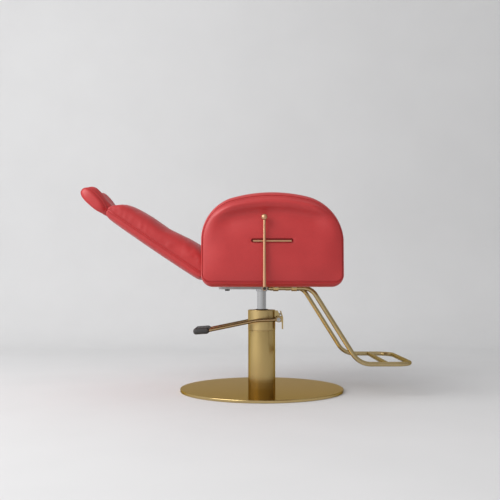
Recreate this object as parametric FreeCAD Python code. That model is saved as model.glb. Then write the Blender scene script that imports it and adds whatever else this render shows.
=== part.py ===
import FreeCAD, Part
import math
import os

from FreeCAD import Vector

# Threading chair: reclining barber-style chair on a pump column, in millimetres.
# +X is the foot end, +Z is up, -Y is the side with the recline lever.
# The origin is the centre of the base on the floor, and the swivel axis is Z.

# Shared fits and one overrun for every cut
running_gap = 0.05
soft_gap = 0.3
overrun = 5.0

# Base plate, its weight and its floor pad
base_radius = 300.0
base_height = 10.0
cover_wall = 1.5
cover_edge_radius = 2.0
cover_lift = 1.0
pad_thickness = 2.0
pad_margin = 14.0

# Pump column
column_radius = 50.0
column_wall = 1.5
column_top = 221.0
foot_thickness = 12.0
foot_bolt_count = 4
foot_bolt_circle_radius = 39.5
foot_bolt_radius = 4.0
foot_bolt_head_radius = 6.8
cylinder_outer_radius = 30.0
cylinder_bore_radius = 25.0
head_radius = 50.6
head_height = 76.0
head_edge_radius = 3.0
head_spigot_length = 12.0
head_cap_thickness = 28.0
groove_depth = 1.2
wiper_radius = 23.0
wiper_height = 2.5

# Ram
ram_radius = 16.5
ram_bottom = 80.0
ram_shoulder = 365.0
ram_spigot_radius = 12.0
piston_height = 20.0
seal_height = 7.0
seal_depth = 4.0
washer_radius = 20.0
washer_thickness = 2.0
clip_radius = 16.0
clip_thickness = 2.5
lift_travel = 150.0

# Pump block on the front of the head
block_half_width = 18.0
block_front = 66.0
block_slope_bottom = 280.0
block_top = 294.0
block_top_front = 59.0
block_edge_radius = 3.0

# Foot pedal: its shaft, rocker, U-shaped yoke and tread
pedal_pivot_x = 60.0
pedal_pivot_z = 263.0
pedal_shaft_radius = 6.0
pedal_nut_radius = 7.5
pedal_nut_length = 6.0
lug_radius = 11.0
rocker_gap = 0.5
rocker_thickness = 3.5
rocker_face_x = 75.3
rocker_bend_z = 268.0
rocker_top_x = 68.0
rocker_top_z = 292.0
rocker_tongue_bottom = 226.0
rocker_cheek_rise = 9.0
yoke_half_width = 65.0
yoke_tube_radius = 6.0
yoke_knee_x = -20.0
yoke_knee_z = 259.5
yoke_knee_radius = 160.0
yoke_end_x = -226.0
yoke_end_z = 217.0
yoke_corner_radius = 32.0
yoke_eye_radius = 10.0
yoke_eye_thickness = 12.0
tread_length = 58.0
tread_thickness = 23.0
tread_half_width = 78.0
tread_edge_radius = 10.0
tread_lead = 6.0
tread_rise = 5.0
tread_tilt = 4.0
tread_groove_count = 4
tread_groove_width = 3.0
tread_groove_depth = 2.0
plunger_radius = 4.5
plunger_z = 280.0
plunger_tip_x = 69.9
plunger_length = 24.0
plunger_stroke = 7.0
plunger_nut_radius = 7.5
plunger_nut_length = 2.0

# Seat mounting pan and swivel
collar_radius = 21.4
collar_height = 5.5
pan_length = 312.0
pan_height = 13.0
pan_wall = 4.0
pan_corner_radius = 14.0
pan_bolt_x = 127.0
pan_bolt_edge = 20.0
pan_bolt_radius = 5.0
pan_bolt_head_radius = 6.5
pan_bolt_head_height = 5.5
pan_bolt_grip = 26.0
hub_radius = 24.0
hub_height = 18.0

# Seat frame and cushion
frame_rear = -185.0
frame_front = 240.0
frame_half_width = 240.0
frame_height = 40.0
frame_end_width = 25.0
side_rail_width = 58.0
spring_bay_width = 77.0
mid_rail_width = 30.0
board_thickness = 12.0
board_rear = -150.0
notch_front = -105.0
notch_depth = 60.0
apron_thickness = 14.0
apron_crown = 4.0
apron_step_shares = ((0.0, 0.0), (0.714, 0.25), (1.0, 1.5))
cushion_rear = -140.0
cushion_front = 256.0
cushion_side_gap = 4.0
cushion_edge_height = 48.0
cushion_crown = 16.0
cushion_corner_radius = 14.0
cushion_step_shares = ((0.0, 0.55, 0.05), (0.05, 0.95, 0.5), (0.5, 1.0, 1.0),
                       (0.93, 0.97, 0.7), (1.0, 0.5, 0.1))

# Wood screws under the clamps and through the hinge brackets
screw_radius = 2.5
screw_head_radius = 5.0
screw_head_height = 3.0
screw_length = 22.0

# Arms
arm_gap = 0.5
arm_rear = -206.5
arm_length = 473.0
arm_drop = 4.5
arm_height = 315.5
arm_corner_radius = 32.0
arm_side_share = 0.498
rear_shoulder_shares = ((0.0634, 0.780), (0.2034, 0.935))
crest_shares = (0.518, 1.0)
front_shoulder_shares = ((0.7617, 0.949), (0.9235, 0.786))
inner_pad_thickness = 10.0
core_thickness = 72.0
outer_pad_thickness = 12.0
outer_pad_mid_shares = (0.6, 1.25)
band_crown = 12.0
roll_radius = 19.0
roll_proud = 6.5
roll_share_z = 0.885
roll_step_shares = ((0.16, 0.60, -0.072), (0.27, 0.86, -0.029), (0.38, 1.0, -0.006), (0.50, 1.0, 0.0),
                    (0.62, 1.0, -0.006), (0.73, 0.86, -0.026), (0.85, 0.60, -0.066))
core_inset = 17.0
pad_drawn_in = 26.0
arm_bolt_radius = 4.0
arm_bolt_head_radius = 8.0
arm_bolt_head_height = 5.0
arm_bolt_length = 70.0
arm_bolt_inset = 86.5

# Guide bar in its recess on the near arm
guide_rise = 150.0
recess_rise = 2.0
liner_setback = 2.0
guide_rear = -34.6
guide_front = 91.0
guide_radius = 3.2
guide_stand_off = 3.0
guide_post_radius = 2.4
guide_post_inset = 9.0
recess_margin = 8.0
recess_half_height = 8.5
recess_depth = 14.0
liner_wall = 1.6

# Recline lever and its cross shaft
lever_x = 2.5
lever_drop = 9.5
lever_stand_off = 13.0
lever_shaft_radius = 4.0
lever_shaft_overhang = 10.0
lever_root_radius = 7.0
lever_hub_radius = 7.0
lever_hub_thickness = 11.0
lever_bolt_radius = 5.0
lever_bolt_height = 3.0
lever_rod_bottom_radius = 5.4
lever_rod_top_radius = 4.2
lever_rise = 232.0
lever_ball_radius = 10.5
finger_offset = 19.0
finger_width = 10.0
finger_thickness = 6.0
finger_height = 31.0
bearing_length = 12.0
bearing_half_width = 7.5
bearing_drop = 6.0
bearing_insets = (8.0, 46.0)

# Lockable gas spring in the near bay of the seat frame
gas_rail_gap = 35.0
gas_rise = 19.0
gas_tube_radius = 11.0
gas_bore_radius = 9.5
gas_rod_radius = 4.0
gas_tube_rear = -158.0
gas_tube_front = -58.0
gas_end_wall = 4.0
gas_piston_x = -118.0
gas_piston_length = 8.0
gas_eye_thickness = 8.0
gas_eye_half_height = 10.0
gas_slot_half_length = 1.6
head_block_rear = 21.0
head_block_length = 24.0
head_block_half_width = 13.0
head_block_rise = 4.5
valve_drop = 3.5
valve_radius = 3.0
valve_length = 20.0
valve_bore_length = 22.5

# Backrest in its own axes: u runs up the back from the pivot, v points to the front
back_pivot_x = -190.0
back_pivot_rise = 12.5
back_slope = 34.0
back_side_gap = 8.0
back_top = 399.0
back_shell_bottom = 2.0
back_cushion_bottom = 24.0
back_rear_face = -46.0
back_seam = -19.0
back_front_shares = ((0.985, -0.08), (0.89, 0.60), (0.76, 0.76), (0.665, 0.81),
                     (0.56, 0.76), (0.51, 0.765), (0.36, 0.92), (0.16, 1.0))
lower_round_shares = (0.42, 0.86, 0.42)
back_front_depth = 57.0
back_crown = 9.0
back_drawn_in = 9.0
back_border = 16.0
back_board_inset = 27.0
back_board_front = -8.0
back_board_thickness = 18.0
back_board_top = 385.0
hinge_plate_thickness = 5.0
hinge_plate_length = 126.0
hinge_eye_radius = 12.0
hinge_pin_radius = 6.0
hinge_pin_head_radius = 9.0
hinge_pin_head_height = 4.0
bracket_thickness = 5.0
bracket_gap = 1.0
bracket_flange_width = 22.0
bracket_front = -143.0
bracket_screw_xs = (-175.0, -153.0)
crank_radius = 35.0
crank_lead = 23.5
crank_pin_radius = 4.0
crank_eye_radius = 9.0
crank_plate_thickness = 4.0
crank_side_gap = 0.5
crank_length = 62.0

# Steps across a pad: place, how far it is drawn in, and its crown
across_draw_shares = (1.0, 0.25, 0.0, 0.0)
across_crown_shares = (0.0, 0.1, 0.5, 1.0)
across_border_shares = (0.0, 0.5, 2.0)

# Headrest, in the backrest's axes
head_half_width = 122.0
head_bottom = 421.0
head_top = 538.0
head_rear_face = -44.0
head_front_face = 19.0
head_cradle = 17.0
head_border = 10.0
head_outline_shares = ((0.0, 0.54), (0.26, 0.75), (0.68, 1.0), (0.86, 0.92),
                       (1.0, 0.48), (0.93, 0.18), (0.52, 0.04), (0.02, 0.03))
head_board_bottom = 436.0
head_board_top = 520.0
head_board_thickness = 12.0
head_board_half_width = 98.0
post_radius = 5.0
post_half_spacing = 55.0
post_bottom = 268.0
post_top = 500.0
sleeve_radius = 7.5
sleeve_bottom = 262.0
sleeve_flange_radius = 10.0
sleeve_flange_thickness = 3.0

# Footrest
footrest_tube_radius = 8.0
footrest_inset = 46.3
footrest_start_x = 20.0
footrest_knee_x = 167.5
footrest_low_x = 331.0
footrest_low_z = 116.5
footrest_end_x = 515.3
footrest_knee_radius = 52.5
footrest_low_radius = 71.8
footrest_end_radius = 60.0
footrest_bar_x = 428.0
footrest_cap_thickness = 3.0
clamp_width = 18.0
clamp_wall = 3.0
clamp_flange = 12.0
clamp_xs = (45.0, 108.0)

# Places that follow from the sizes above
head_top_z = column_top + head_height
pan_bottom = ram_shoulder + washer_thickness + collar_height
underside = pan_bottom + pan_height
frame_top = underside + frame_height
board_top = frame_top + board_thickness
rail_inner = frame_half_width - side_rail_width
mid_rail_outer = rail_inner - spring_bay_width
mid_rail_inner = mid_rail_outer - mid_rail_width
pan_bolt_y = (mid_rail_inner + mid_rail_outer) / 2
pan_width = 2 * (pan_bolt_y + pan_bolt_edge)
notch_inner = frame_half_width - notch_depth
cushion_half_width = frame_half_width - cushion_side_gap
weight_thickness = base_height - cover_wall - pad_thickness
weight_top = pad_thickness + weight_thickness
foot_radius = column_radius - column_wall - soft_gap
arm_inner_y = frame_half_width + arm_gap
arm_bottom = underside - arm_drop
core_y = arm_inner_y + inner_pad_thickness
outer_pad_y = core_y + core_thickness
face_y = outer_pad_y + outer_pad_thickness
guide_z = arm_bottom + guide_rise
guide_y = face_y + guide_stand_off
gas_y = rail_inner - gas_rail_gap
gas_z = underside + gas_rise
finger_y = gas_y - finger_offset
valve_z = gas_z - valve_drop
head_block_bottom = underside + head_block_rise
lever_y = face_y + lever_stand_off
lever_z = underside - lever_drop
lever_ball_z = lever_z + lever_rise
lever_shaft_inner = finger_y - lever_shaft_overhang
finger_top = lever_z + finger_height
back_pivot_z = frame_top + back_pivot_rise
back_half_width = frame_half_width - back_side_gap
back_board_half_width = back_half_width - back_board_inset
tube_z = underside - footrest_tube_radius
footrest_half_width = frame_half_width - footrest_inset
back_mid = back_board_front - back_board_thickness / 2
crank_angle = math.radians(crank_lead)


def ring(outer, inner, bottom, height, at=(0, 0)):
    """Upright ring, or a disc where the inner radius is zero."""
    body = Part.makeCylinder(outer, height, Vector(at[0], at[1], bottom))
    if inner > 0:
        bore = Part.makeCylinder(inner, height + 2 * overrun, Vector(at[0], at[1], bottom - overrun))
        body = body.cut(bore)
    return body


def box(x0, x1, y0, y1, z0, z1):
    """Box between two corners."""
    return Part.makeBox(x1 - x0, y1 - y0, z1 - z0, Vector(x0, y0, z0))


def rod_y(radius, x, z, y0, y1):
    """Round bar along Y."""
    return Part.makeCylinder(radius, y1 - y0, Vector(x, y0, z), Vector(0, 1, 0))


def rod_x(radius, y, z, x0, x1):
    """Round bar along X."""
    return Part.makeCylinder(radius, x1 - x0, Vector(x0, y, z), Vector(1, 0, 0))


def joined(shapes):
    """One solid made of overlapping shapes."""
    body = shapes[0]
    for shape in shapes[1:]:
        body = body.fuse(shape)
    return body.removeSplitter()


def without(body, tools):
    """A body less each of the tools."""
    for tool in tools:
        body = body.cut(tool)
    return body


def upright_edges(body):
    """Edges of a body that run along Z."""
    found = []
    for edge in body.Edges:
        ends = edge.Vertexes
        if len(ends) == 2 and abs(abs((ends[1].Point - ends[0].Point).z) - edge.Length) < running_gap:
            found.append(edge)
    return found


def edges_along_y(body):
    """Edges of a body that run along Y."""
    found = []
    for edge in body.Edges:
        ends = edge.Vertexes
        if len(ends) == 2 and abs(abs((ends[1].Point - ends[0].Point).y) - edge.Length) < running_gap:
            found.append(edge)
    return found


def mirrored(shape):
    """The same piece on the other side of the seat."""
    return shape.mirror(Vector(0, 0, 0), Vector(0, 1, 0))


def plate_xz(points, y0, y1):
    """Flat plate with straight edges, cut out in the XZ plane."""
    wire = Part.makePolygon([Vector(x, y0, z) for x, z in points + points[:1]])
    return Part.Face(wire).extrude(Vector(0, y1 - y0, 0))


def tube(points, radii, radius):
    """Bent tube through corner points, with a tangent arc at each inner one."""
    edges = []
    start = points[0]
    for before, corner, after, bend in zip(points, points[1:], points[2:], radii):
        back = (before - corner).normalize()
        ahead = (after - corner).normalize()
        half = back.getAngle(ahead) / 2
        reach = bend / math.tan(half)
        middle = (back + ahead).normalize() * (bend / math.sin(half) - bend)
        edges.append(Part.LineSegment(start, corner + back * reach).toShape())
        arc = Part.Arc(corner + back * reach, corner + middle, corner + ahead * reach)
        edges.append(arc.toShape())
        start = corner + ahead * reach
    edges.append(Part.LineSegment(start, points[-1]).toShape())
    path = Part.Wire(edges)
    profile = Part.Wire(Part.makeCircle(radius, points[0], points[1] - points[0]))
    return path.makePipeShell([profile], True, False)


def to_back(shape):
    """Moves a piece from the backrest's own axes to its place at rest."""
    slope = math.radians(back_slope)
    up = Vector(-math.cos(slope), 0, math.sin(slope))
    out = Vector(math.sin(slope), 0, math.cos(slope))
    side = out.cross(up)
    matrix = FreeCAD.Matrix(up.x, side.x, out.x, back_pivot_x,
                            up.y, side.y, out.y, 0,
                            up.z, side.z, out.z, back_pivot_z, 0, 0, 0, 1)
    moved = shape.copy()
    moved.transformShape(matrix)
    return moved


def make_base():
    """Round base: stamped cover, steel weight and rubber floor pad."""
    cover = ring(base_radius, 0, cover_lift, base_height - cover_lift)
    rim = [edge for edge in cover.Edges if edge.BoundBox.ZMin > base_height - running_gap]
    cover = cover.makeFillet(cover_edge_radius, rim)
    hollow = ring(base_radius - cover_wall, 0, 0, weight_top)
    cover = cover.cut(hollow)
    weight = ring(base_radius - cover_wall - soft_gap, 0, pad_thickness, weight_thickness)
    floor_pad = ring(base_radius - pad_margin, 0, 0, pad_thickness)
    return {"base_cover": cover, "base_weight": weight, "floor_pad": floor_pad}


def make_column():
    """Column sleeve, pump cylinder, its bolted foot, the head and the wiper."""
    sleeve = ring(column_radius, column_radius - column_wall, base_height, column_top - base_height)
    inner = column_radius - column_wall
    foot_top = base_height + foot_thickness
    foot = ring(foot_radius, 0, weight_top, foot_top - weight_top)
    cylinder = ring(cylinder_outer_radius, cylinder_bore_radius, foot_top,
                    head_top_z - head_cap_thickness - foot_top)
    bolts = []
    for index in range(foot_bolt_count):
        turn = math.radians(360 * (index + 0.5) / foot_bolt_count)
        place = (foot_bolt_circle_radius * math.cos(turn), foot_bolt_circle_radius * math.sin(turn))
        shank = ring(foot_bolt_radius, 0, pad_thickness, foot_top - pad_thickness, place)
        cap = ring(foot_bolt_head_radius, 0, foot_top, foot_bolt_radius, place)
        bolts.append(shank.fuse(cap).removeSplitter())
        foot = foot.cut(shank)
    bore = ram_radius + running_gap
    head = ring(head_radius, 0, column_top, head_height)
    top_rim = [edge for edge in head.Edges if edge.BoundBox.ZMin > head_top_z - running_gap]
    head = head.makeFillet(head_edge_radius, top_rim)
    low_rim = [edge for edge in head.Edges if edge.BoundBox.ZMax < column_top + running_gap]
    head = head.makeChamfer(groove_depth, low_rim)
    spigot = ring(inner - running_gap, 0, column_top - head_spigot_length, head_spigot_length + overrun)
    head = head.fuse(spigot)
    counterbore = ring(cylinder_outer_radius, 0, 0, head_top_z - head_cap_thickness)
    head = without(head, [counterbore, ring(bore, 0, 0, head_top_z + overrun), plunger_bore()])
    wiper = ring(wiper_radius, bore, head_top_z, wiper_height)
    lip = [edge for edge in wiper.Edges if edge.BoundBox.ZMin > head_top_z + running_gap
           and edge.BoundBox.XMax > bore + running_gap]
    wiper = wiper.makeChamfer(wiper_height / 2, lip)
    return {"column_sleeve": sleeve, "foot_bolts": Part.makeCompound(bolts),
            "pump_cylinder": joined([foot, cylinder]), "pump_head": head.removeSplitter(),
            "wiper_ring": wiper}


def plunger_bore():
    """Bore that runs through the block into the head."""
    return rod_x(plunger_radius + running_gap, 0, plunger_z, plunger_tip_x - plunger_length - plunger_stroke,
                 plunger_tip_x)


def make_pump_block():
    """Block on the head's front with the plunger bore and the pedal shaft's lug."""
    outline = [(0, pedal_pivot_z), (pedal_pivot_x, pedal_pivot_z - lug_radius), (block_front, pedal_pivot_z),
               (block_front, block_slope_bottom), (block_top_front, block_top), (0, block_top)]
    lug = rod_y(lug_radius, pedal_pivot_x, pedal_pivot_z, -block_half_width, block_half_width)
    body = plate_xz(outline, -block_half_width, block_half_width)
    front = box(0, block_front, -block_half_width, block_half_width,
                pedal_pivot_z - lug_radius, block_top + overrun)
    body = body.fuse(lug.common(front)).removeSplitter()
    body = body.cut(ring(head_radius, 0, 0, head_top_z + overrun))
    shaft = rod_y(pedal_shaft_radius + running_gap, pedal_pivot_x, pedal_pivot_z,
                  -block_half_width - overrun, block_half_width + overrun)
    bore = plunger_bore()
    return {"pump_block": without(body, [shaft, bore])}


def make_pedal():
    """Rocker plate, shaft, nuts, U-shaped yoke and rubber tread: one rigid pedal."""
    inner = block_half_width + rocker_gap
    outer = inner + rocker_thickness
    lean = (rocker_top_x - rocker_face_x) / (rocker_top_z - rocker_bend_z)
    front = [(rocker_face_x, rocker_tongue_bottom), (rocker_face_x, rocker_bend_z),
             (rocker_top_x, rocker_top_z), (rocker_top_x + rocker_thickness, rocker_top_z),
             (rocker_face_x + rocker_thickness, rocker_bend_z - lean * rocker_thickness),
             (rocker_face_x + rocker_thickness, rocker_tongue_bottom)]
    plate = plate_xz(front, -outer, outer)
    cheek = [(pedal_pivot_x - lug_radius, pedal_pivot_z), (pedal_pivot_x, pedal_pivot_z - lug_radius),
             (rocker_face_x + rocker_thickness, pedal_pivot_z - lug_radius),
             (rocker_face_x + rocker_thickness, rocker_bend_z - lean * rocker_thickness),
             (rocker_face_x, pedal_pivot_z + rocker_cheek_rise),
             (pedal_pivot_x, pedal_pivot_z + lug_radius)]
    cheeks = [plate_xz(cheek, inner, outer), plate_xz(cheek, -outer, -inner)]
    eyes = [rod_y(lug_radius, pedal_pivot_x, pedal_pivot_z, inner, outer),
            rod_y(lug_radius, pedal_pivot_x, pedal_pivot_z, -outer, -inner)]
    rocker = joined([plate] + cheeks + eyes)
    half = yoke_half_width + yoke_eye_thickness / 2
    shaft = rod_y(pedal_shaft_radius, pedal_pivot_x, pedal_pivot_z, -half, half)
    rocker = rocker.cut(shaft)
    nuts = []
    for side in (-1, 1):
        y0 = side * half
        nut = Part.makeCylinder(pedal_nut_radius, pedal_nut_length, Vector(pedal_pivot_x, y0, pedal_pivot_z),
                                Vector(0, side, 0))
        hexagon = []
        for corner in range(6):
            turn = math.radians(60 * corner)
            hexagon.append(Vector(pedal_pivot_x + pedal_nut_radius * math.cos(turn), y0,
                                  pedal_pivot_z + pedal_nut_radius * math.sin(turn)))
        flats = Part.Face(Part.makePolygon(hexagon + hexagon[:1]))
        nuts.append(nut.common(flats.extrude(Vector(0, side * pedal_nut_length, 0))))
    near = [Vector(pedal_pivot_x, -yoke_half_width, pedal_pivot_z),
            Vector(yoke_knee_x, -yoke_half_width, yoke_knee_z),
            Vector(yoke_end_x, -yoke_half_width, yoke_end_z)]
    far = [Vector(point.x, -point.y, point.z) for point in reversed(near)]
    bends = [yoke_knee_radius, yoke_corner_radius, yoke_corner_radius, yoke_knee_radius]
    loop = tube(near + far, bends, yoke_tube_radius)
    eyes = []
    for side in (-1, 1):
        y0 = side * yoke_half_width - yoke_eye_thickness / 2
        eyes.append(rod_y(yoke_eye_radius, pedal_pivot_x, pedal_pivot_z, y0, y0 + yoke_eye_thickness))
    way = rod_y(pedal_shaft_radius, pedal_pivot_x, pedal_pivot_z, -half - overrun, half + overrun)
    yoke = joined([loop] + eyes).cut(way)
    tread = box(-tread_length / 2, tread_length / 2, -tread_half_width, tread_half_width,
                -tread_thickness / 2, tread_thickness / 2)
    tread = tread.makeFillet(tread_edge_radius, tread.Edges)
    pitch = (tread_length - 2 * tread_edge_radius) / (tread_groove_count - 1)
    for index in range(tread_groove_count):
        x0 = -tread_length / 2 + tread_edge_radius + index * pitch - tread_groove_width / 2
        groove = box(x0, x0 + tread_groove_width, -tread_half_width + 2 * tread_edge_radius,
                     tread_half_width - 2 * tread_edge_radius,
                     tread_thickness / 2 - tread_groove_depth, tread_thickness)
        tread = tread.cut(groove)
    tread.rotate(Vector(0, 0, 0), Vector(0, 1, 0), -tread_tilt)
    tread.translate(Vector(yoke_end_x + tread_lead, 0, yoke_end_z + tread_rise))
    tread = tread.cut(loop)
    return {"rocker_plate": rocker, "pedal_shaft": shaft, "pedal_nuts": Part.makeCompound(nuts),
            "pedal_yoke": yoke, "pedal_tread": tread}


def make_plunger():
    """Pump plunger that the rocker plate presses into the block."""
    body = rod_x(plunger_radius, 0, plunger_z, plunger_tip_x - plunger_length, plunger_tip_x)
    tip = [edge for edge in body.Edges if edge.BoundBox.XMin > plunger_tip_x - running_gap]
    return {"pump_plunger": body.makeChamfer(plunger_radius / 4, tip)}


def make_ram():
    """Polished ram with its piston, seal, thrust washer and retaining clip."""
    clip_bottom = underside + hub_height
    rod = ring(ram_radius, 0, ram_bottom, ram_shoulder - ram_bottom)
    spigot = ring(ram_spigot_radius, 0, ram_shoulder, clip_bottom + 2 * clip_thickness - ram_shoulder)
    rod = rod.fuse(spigot).removeSplitter()
    piston = ring(cylinder_bore_radius - running_gap, 0, ram_bottom - piston_height, piston_height)
    middle = ram_bottom - piston_height / 2 - seal_height / 2
    seal = ring(cylinder_bore_radius - running_gap, cylinder_bore_radius - seal_depth, middle, seal_height)
    washer = ring(washer_radius, ram_spigot_radius, ram_shoulder, washer_thickness)
    clip = ring(clip_radius, ram_spigot_radius, clip_bottom, clip_thickness)
    return {"ram_rod": rod, "ram_piston": piston.cut(seal), "ram_seal": seal,
            "ram_rings": Part.makeCompound([washer, clip])}


def make_mounting():
    """Swivel collar, mounting pan, hub and the bolts that hold the seat."""
    bore = ram_spigot_radius + running_gap
    seat_on = ram_shoulder + washer_thickness
    collar = ring(collar_radius, bore, seat_on, pan_bottom - seat_on)
    pan = box(-pan_length / 2, pan_length / 2, -pan_width / 2, pan_width / 2, pan_bottom, underside)
    pan = pan.makeFillet(pan_corner_radius, upright_edges(pan))
    hollow = box(-pan_length / 2 + pan_wall, pan_length / 2 - pan_wall, -pan_width / 2 + pan_wall,
                 pan_width / 2 - pan_wall, pan_bottom + pan_wall, underside + overrun)
    hollow = hollow.makeFillet(pan_corner_radius - pan_wall, upright_edges(hollow))
    bosses = [ring(hub_radius, 0, pan_bottom, underside + hub_height - pan_bottom)]
    bolts = []
    shanks = []
    for x in (-pan_bolt_x, pan_bolt_x):
        for y in (-pan_bolt_y, pan_bolt_y):
            bosses.append(ring(2 * pan_bolt_radius, 0, pan_bottom, underside - pan_bottom, (x, y)))
            shank = ring(pan_bolt_radius, 0, pan_bottom, underside + pan_bolt_grip - pan_bottom, (x, y))
            cap = ring(pan_bolt_head_radius, 0, pan_bottom - pan_bolt_head_height,
                       pan_bolt_head_height, (x, y))
            shanks.append(shank)
            bolts.append(shank.fuse(cap).removeSplitter())
    pan = joined([pan.cut(hollow)] + bosses)
    pan = without(pan, shanks + [ring(bore, 0, 0, underside + hub_height + overrun)])
    return {"swivel_collar": collar, "mounting_pan": pan, "mounting_bolts": Part.makeCompound(bolts)}, shanks


def make_seat_frame(shanks):
    """Timber frame with three bays, the plywood board and the front apron."""
    body = box(frame_rear, frame_front, -frame_half_width, frame_half_width, underside, frame_top)
    centre = box(frame_rear + frame_end_width, frame_front - frame_end_width, -mid_rail_inner, mid_rail_inner,
                 underside - overrun, frame_top + overrun)
    bays = [centre]
    for side in (-1, 1):
        edges = sorted((side * mid_rail_outer, side * rail_inner))
        bays.append(box(frame_rear - overrun, frame_front - frame_end_width, edges[0], edges[1],
                        underside - overrun, frame_top + overrun))
    body = without(body, bays + shanks)
    board = box(board_rear, frame_front, -frame_half_width, frame_half_width, frame_top, board_top)
    for side in (-1, 1):
        edges = sorted((side * notch_inner, side * (frame_half_width + overrun)))
        board = board.cut(box(board_rear - overrun, notch_front, edges[0], edges[1],
                              frame_top - overrun, board_top + overrun))
    apron = soft_panel(frame_front, -frame_half_width + soft_gap, frame_half_width - soft_gap,
                       underside, board_top)
    return {"seat_frame": body, "seat_board": board, "front_apron": apron}


def soft_panel(x0, y0, y1, z0, z1):
    """Upholstered panel that bulges towards +X."""
    sections = []
    for reach_share, inset_share in apron_step_shares:
        reach = apron_thickness * reach_share
        inset = apron_crown * inset_share
        corners = [Vector(x0 + reach, y0 + inset, z0 + inset), Vector(x0 + reach, y1 - inset, z0 + inset),
                   Vector(x0 + reach, y1 - inset, z1 - inset), Vector(x0 + reach, y0 + inset, z1 - inset)]
        sections.append(Part.makePolygon(corners + corners[:1]))
    return Part.makeLoft(sections, True, True)


def crowned_section(x, half, bottom, edge, crown, corner):
    """Cushion outline across the seat: flat below, round shoulders, crowned top."""
    tilt = corner * math.sqrt(0.5)
    middle = edge + crown
    left = [Vector(x, -half, bottom), Vector(x, -half, edge - corner),
            Vector(x, -half + corner - tilt, edge - corner + tilt), Vector(x, -half + corner, edge)]
    right = [Vector(x, -p.y, p.z) for p in reversed(left)]
    edges = [Part.LineSegment(right[-1], left[0]).toShape(),
             Part.LineSegment(left[0], left[1]).toShape(),
             Part.Arc(left[1], left[2], left[3]).toShape(),
             Part.Arc(left[3], Vector(x, 0, middle), right[0]).toShape(),
             Part.Arc(right[0], right[1], right[2]).toShape(),
             Part.LineSegment(right[2], right[3]).toShape()]
    return Part.Wire(edges)


def make_seat_cushion():
    """Seat cushion with a crowned top and drawn-in ends."""
    length = cushion_front - cushion_rear
    sections = []
    for along_share, height_share, crown_share in cushion_step_shares:
        height = board_top + cushion_edge_height * height_share
        sections.append(crowned_section(cushion_rear + length * along_share, cushion_half_width, board_top,
                                        height, cushion_crown * crown_share, cushion_corner_radius))
    return {"seat_cushion": Part.makeLoft(sections, True, True)}


def arm_outline(y, inset):
    """Side outline of an arm: flat bottom, upright ends and one long arched top."""
    x0 = arm_rear + inset
    z0 = arm_bottom + inset
    length = arm_length - 2 * inset
    height = arm_height - 2 * inset

    def at(share_x, share_z):
        return Vector(x0 + length * share_x, y, z0 + height * share_z)

    corner = max(arm_corner_radius - inset, overrun)
    tilt = corner * (1 - math.sqrt(0.5))
    rear = at(0, arm_side_share)
    front = at(1, arm_side_share)
    rear_end = at(*rear_shoulder_shares[1])
    front_end = at(*front_shoulder_shares[0])
    x1 = x0 + length
    edges = [Part.LineSegment(Vector(x0 + corner, y, z0), Vector(x1 - corner, y, z0)).toShape(),
             Part.Arc(Vector(x1 - corner, y, z0), Vector(x1 - tilt, y, z0 + tilt),
                      Vector(x1, y, z0 + corner)).toShape(),
             Part.LineSegment(Vector(x1, y, z0 + corner), front).toShape(),
             Part.Arc(front, at(*front_shoulder_shares[1]), front_end).toShape(),
             Part.Arc(front_end, at(*crest_shares), rear_end).toShape(),
             Part.Arc(rear_end, at(*rear_shoulder_shares[0]), rear).toShape(),
             Part.LineSegment(rear, Vector(x0, y, z0 + corner)).toShape(),
             Part.Arc(Vector(x0, y, z0 + corner), Vector(x0 + tilt, y, z0 + tilt),
                      Vector(x0 + corner, y, z0)).toShape()]
    return Part.Wire(edges)


def arm_roll():
    """Padded roll along the top of an arm's outer face, slimmer towards both shoulders."""
    sections = []
    for share_x, size_share, drop_share in roll_step_shares:
        reach = roll_radius * size_share
        centre = Vector(arm_rear + arm_length * share_x, face_y + roll_proud * size_share - reach,
                        arm_bottom + arm_height * (roll_share_z + drop_share))
        sections.append(Part.Wire(Part.makeCircle(reach, centre, Vector(1, 0, 0))))
    roll = Part.makeLoft(sections, True, False)
    return roll.common(box(arm_rear, arm_rear + arm_length, outer_pad_y, face_y + roll_proud,
                           arm_bottom, arm_bottom + arm_height))


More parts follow.
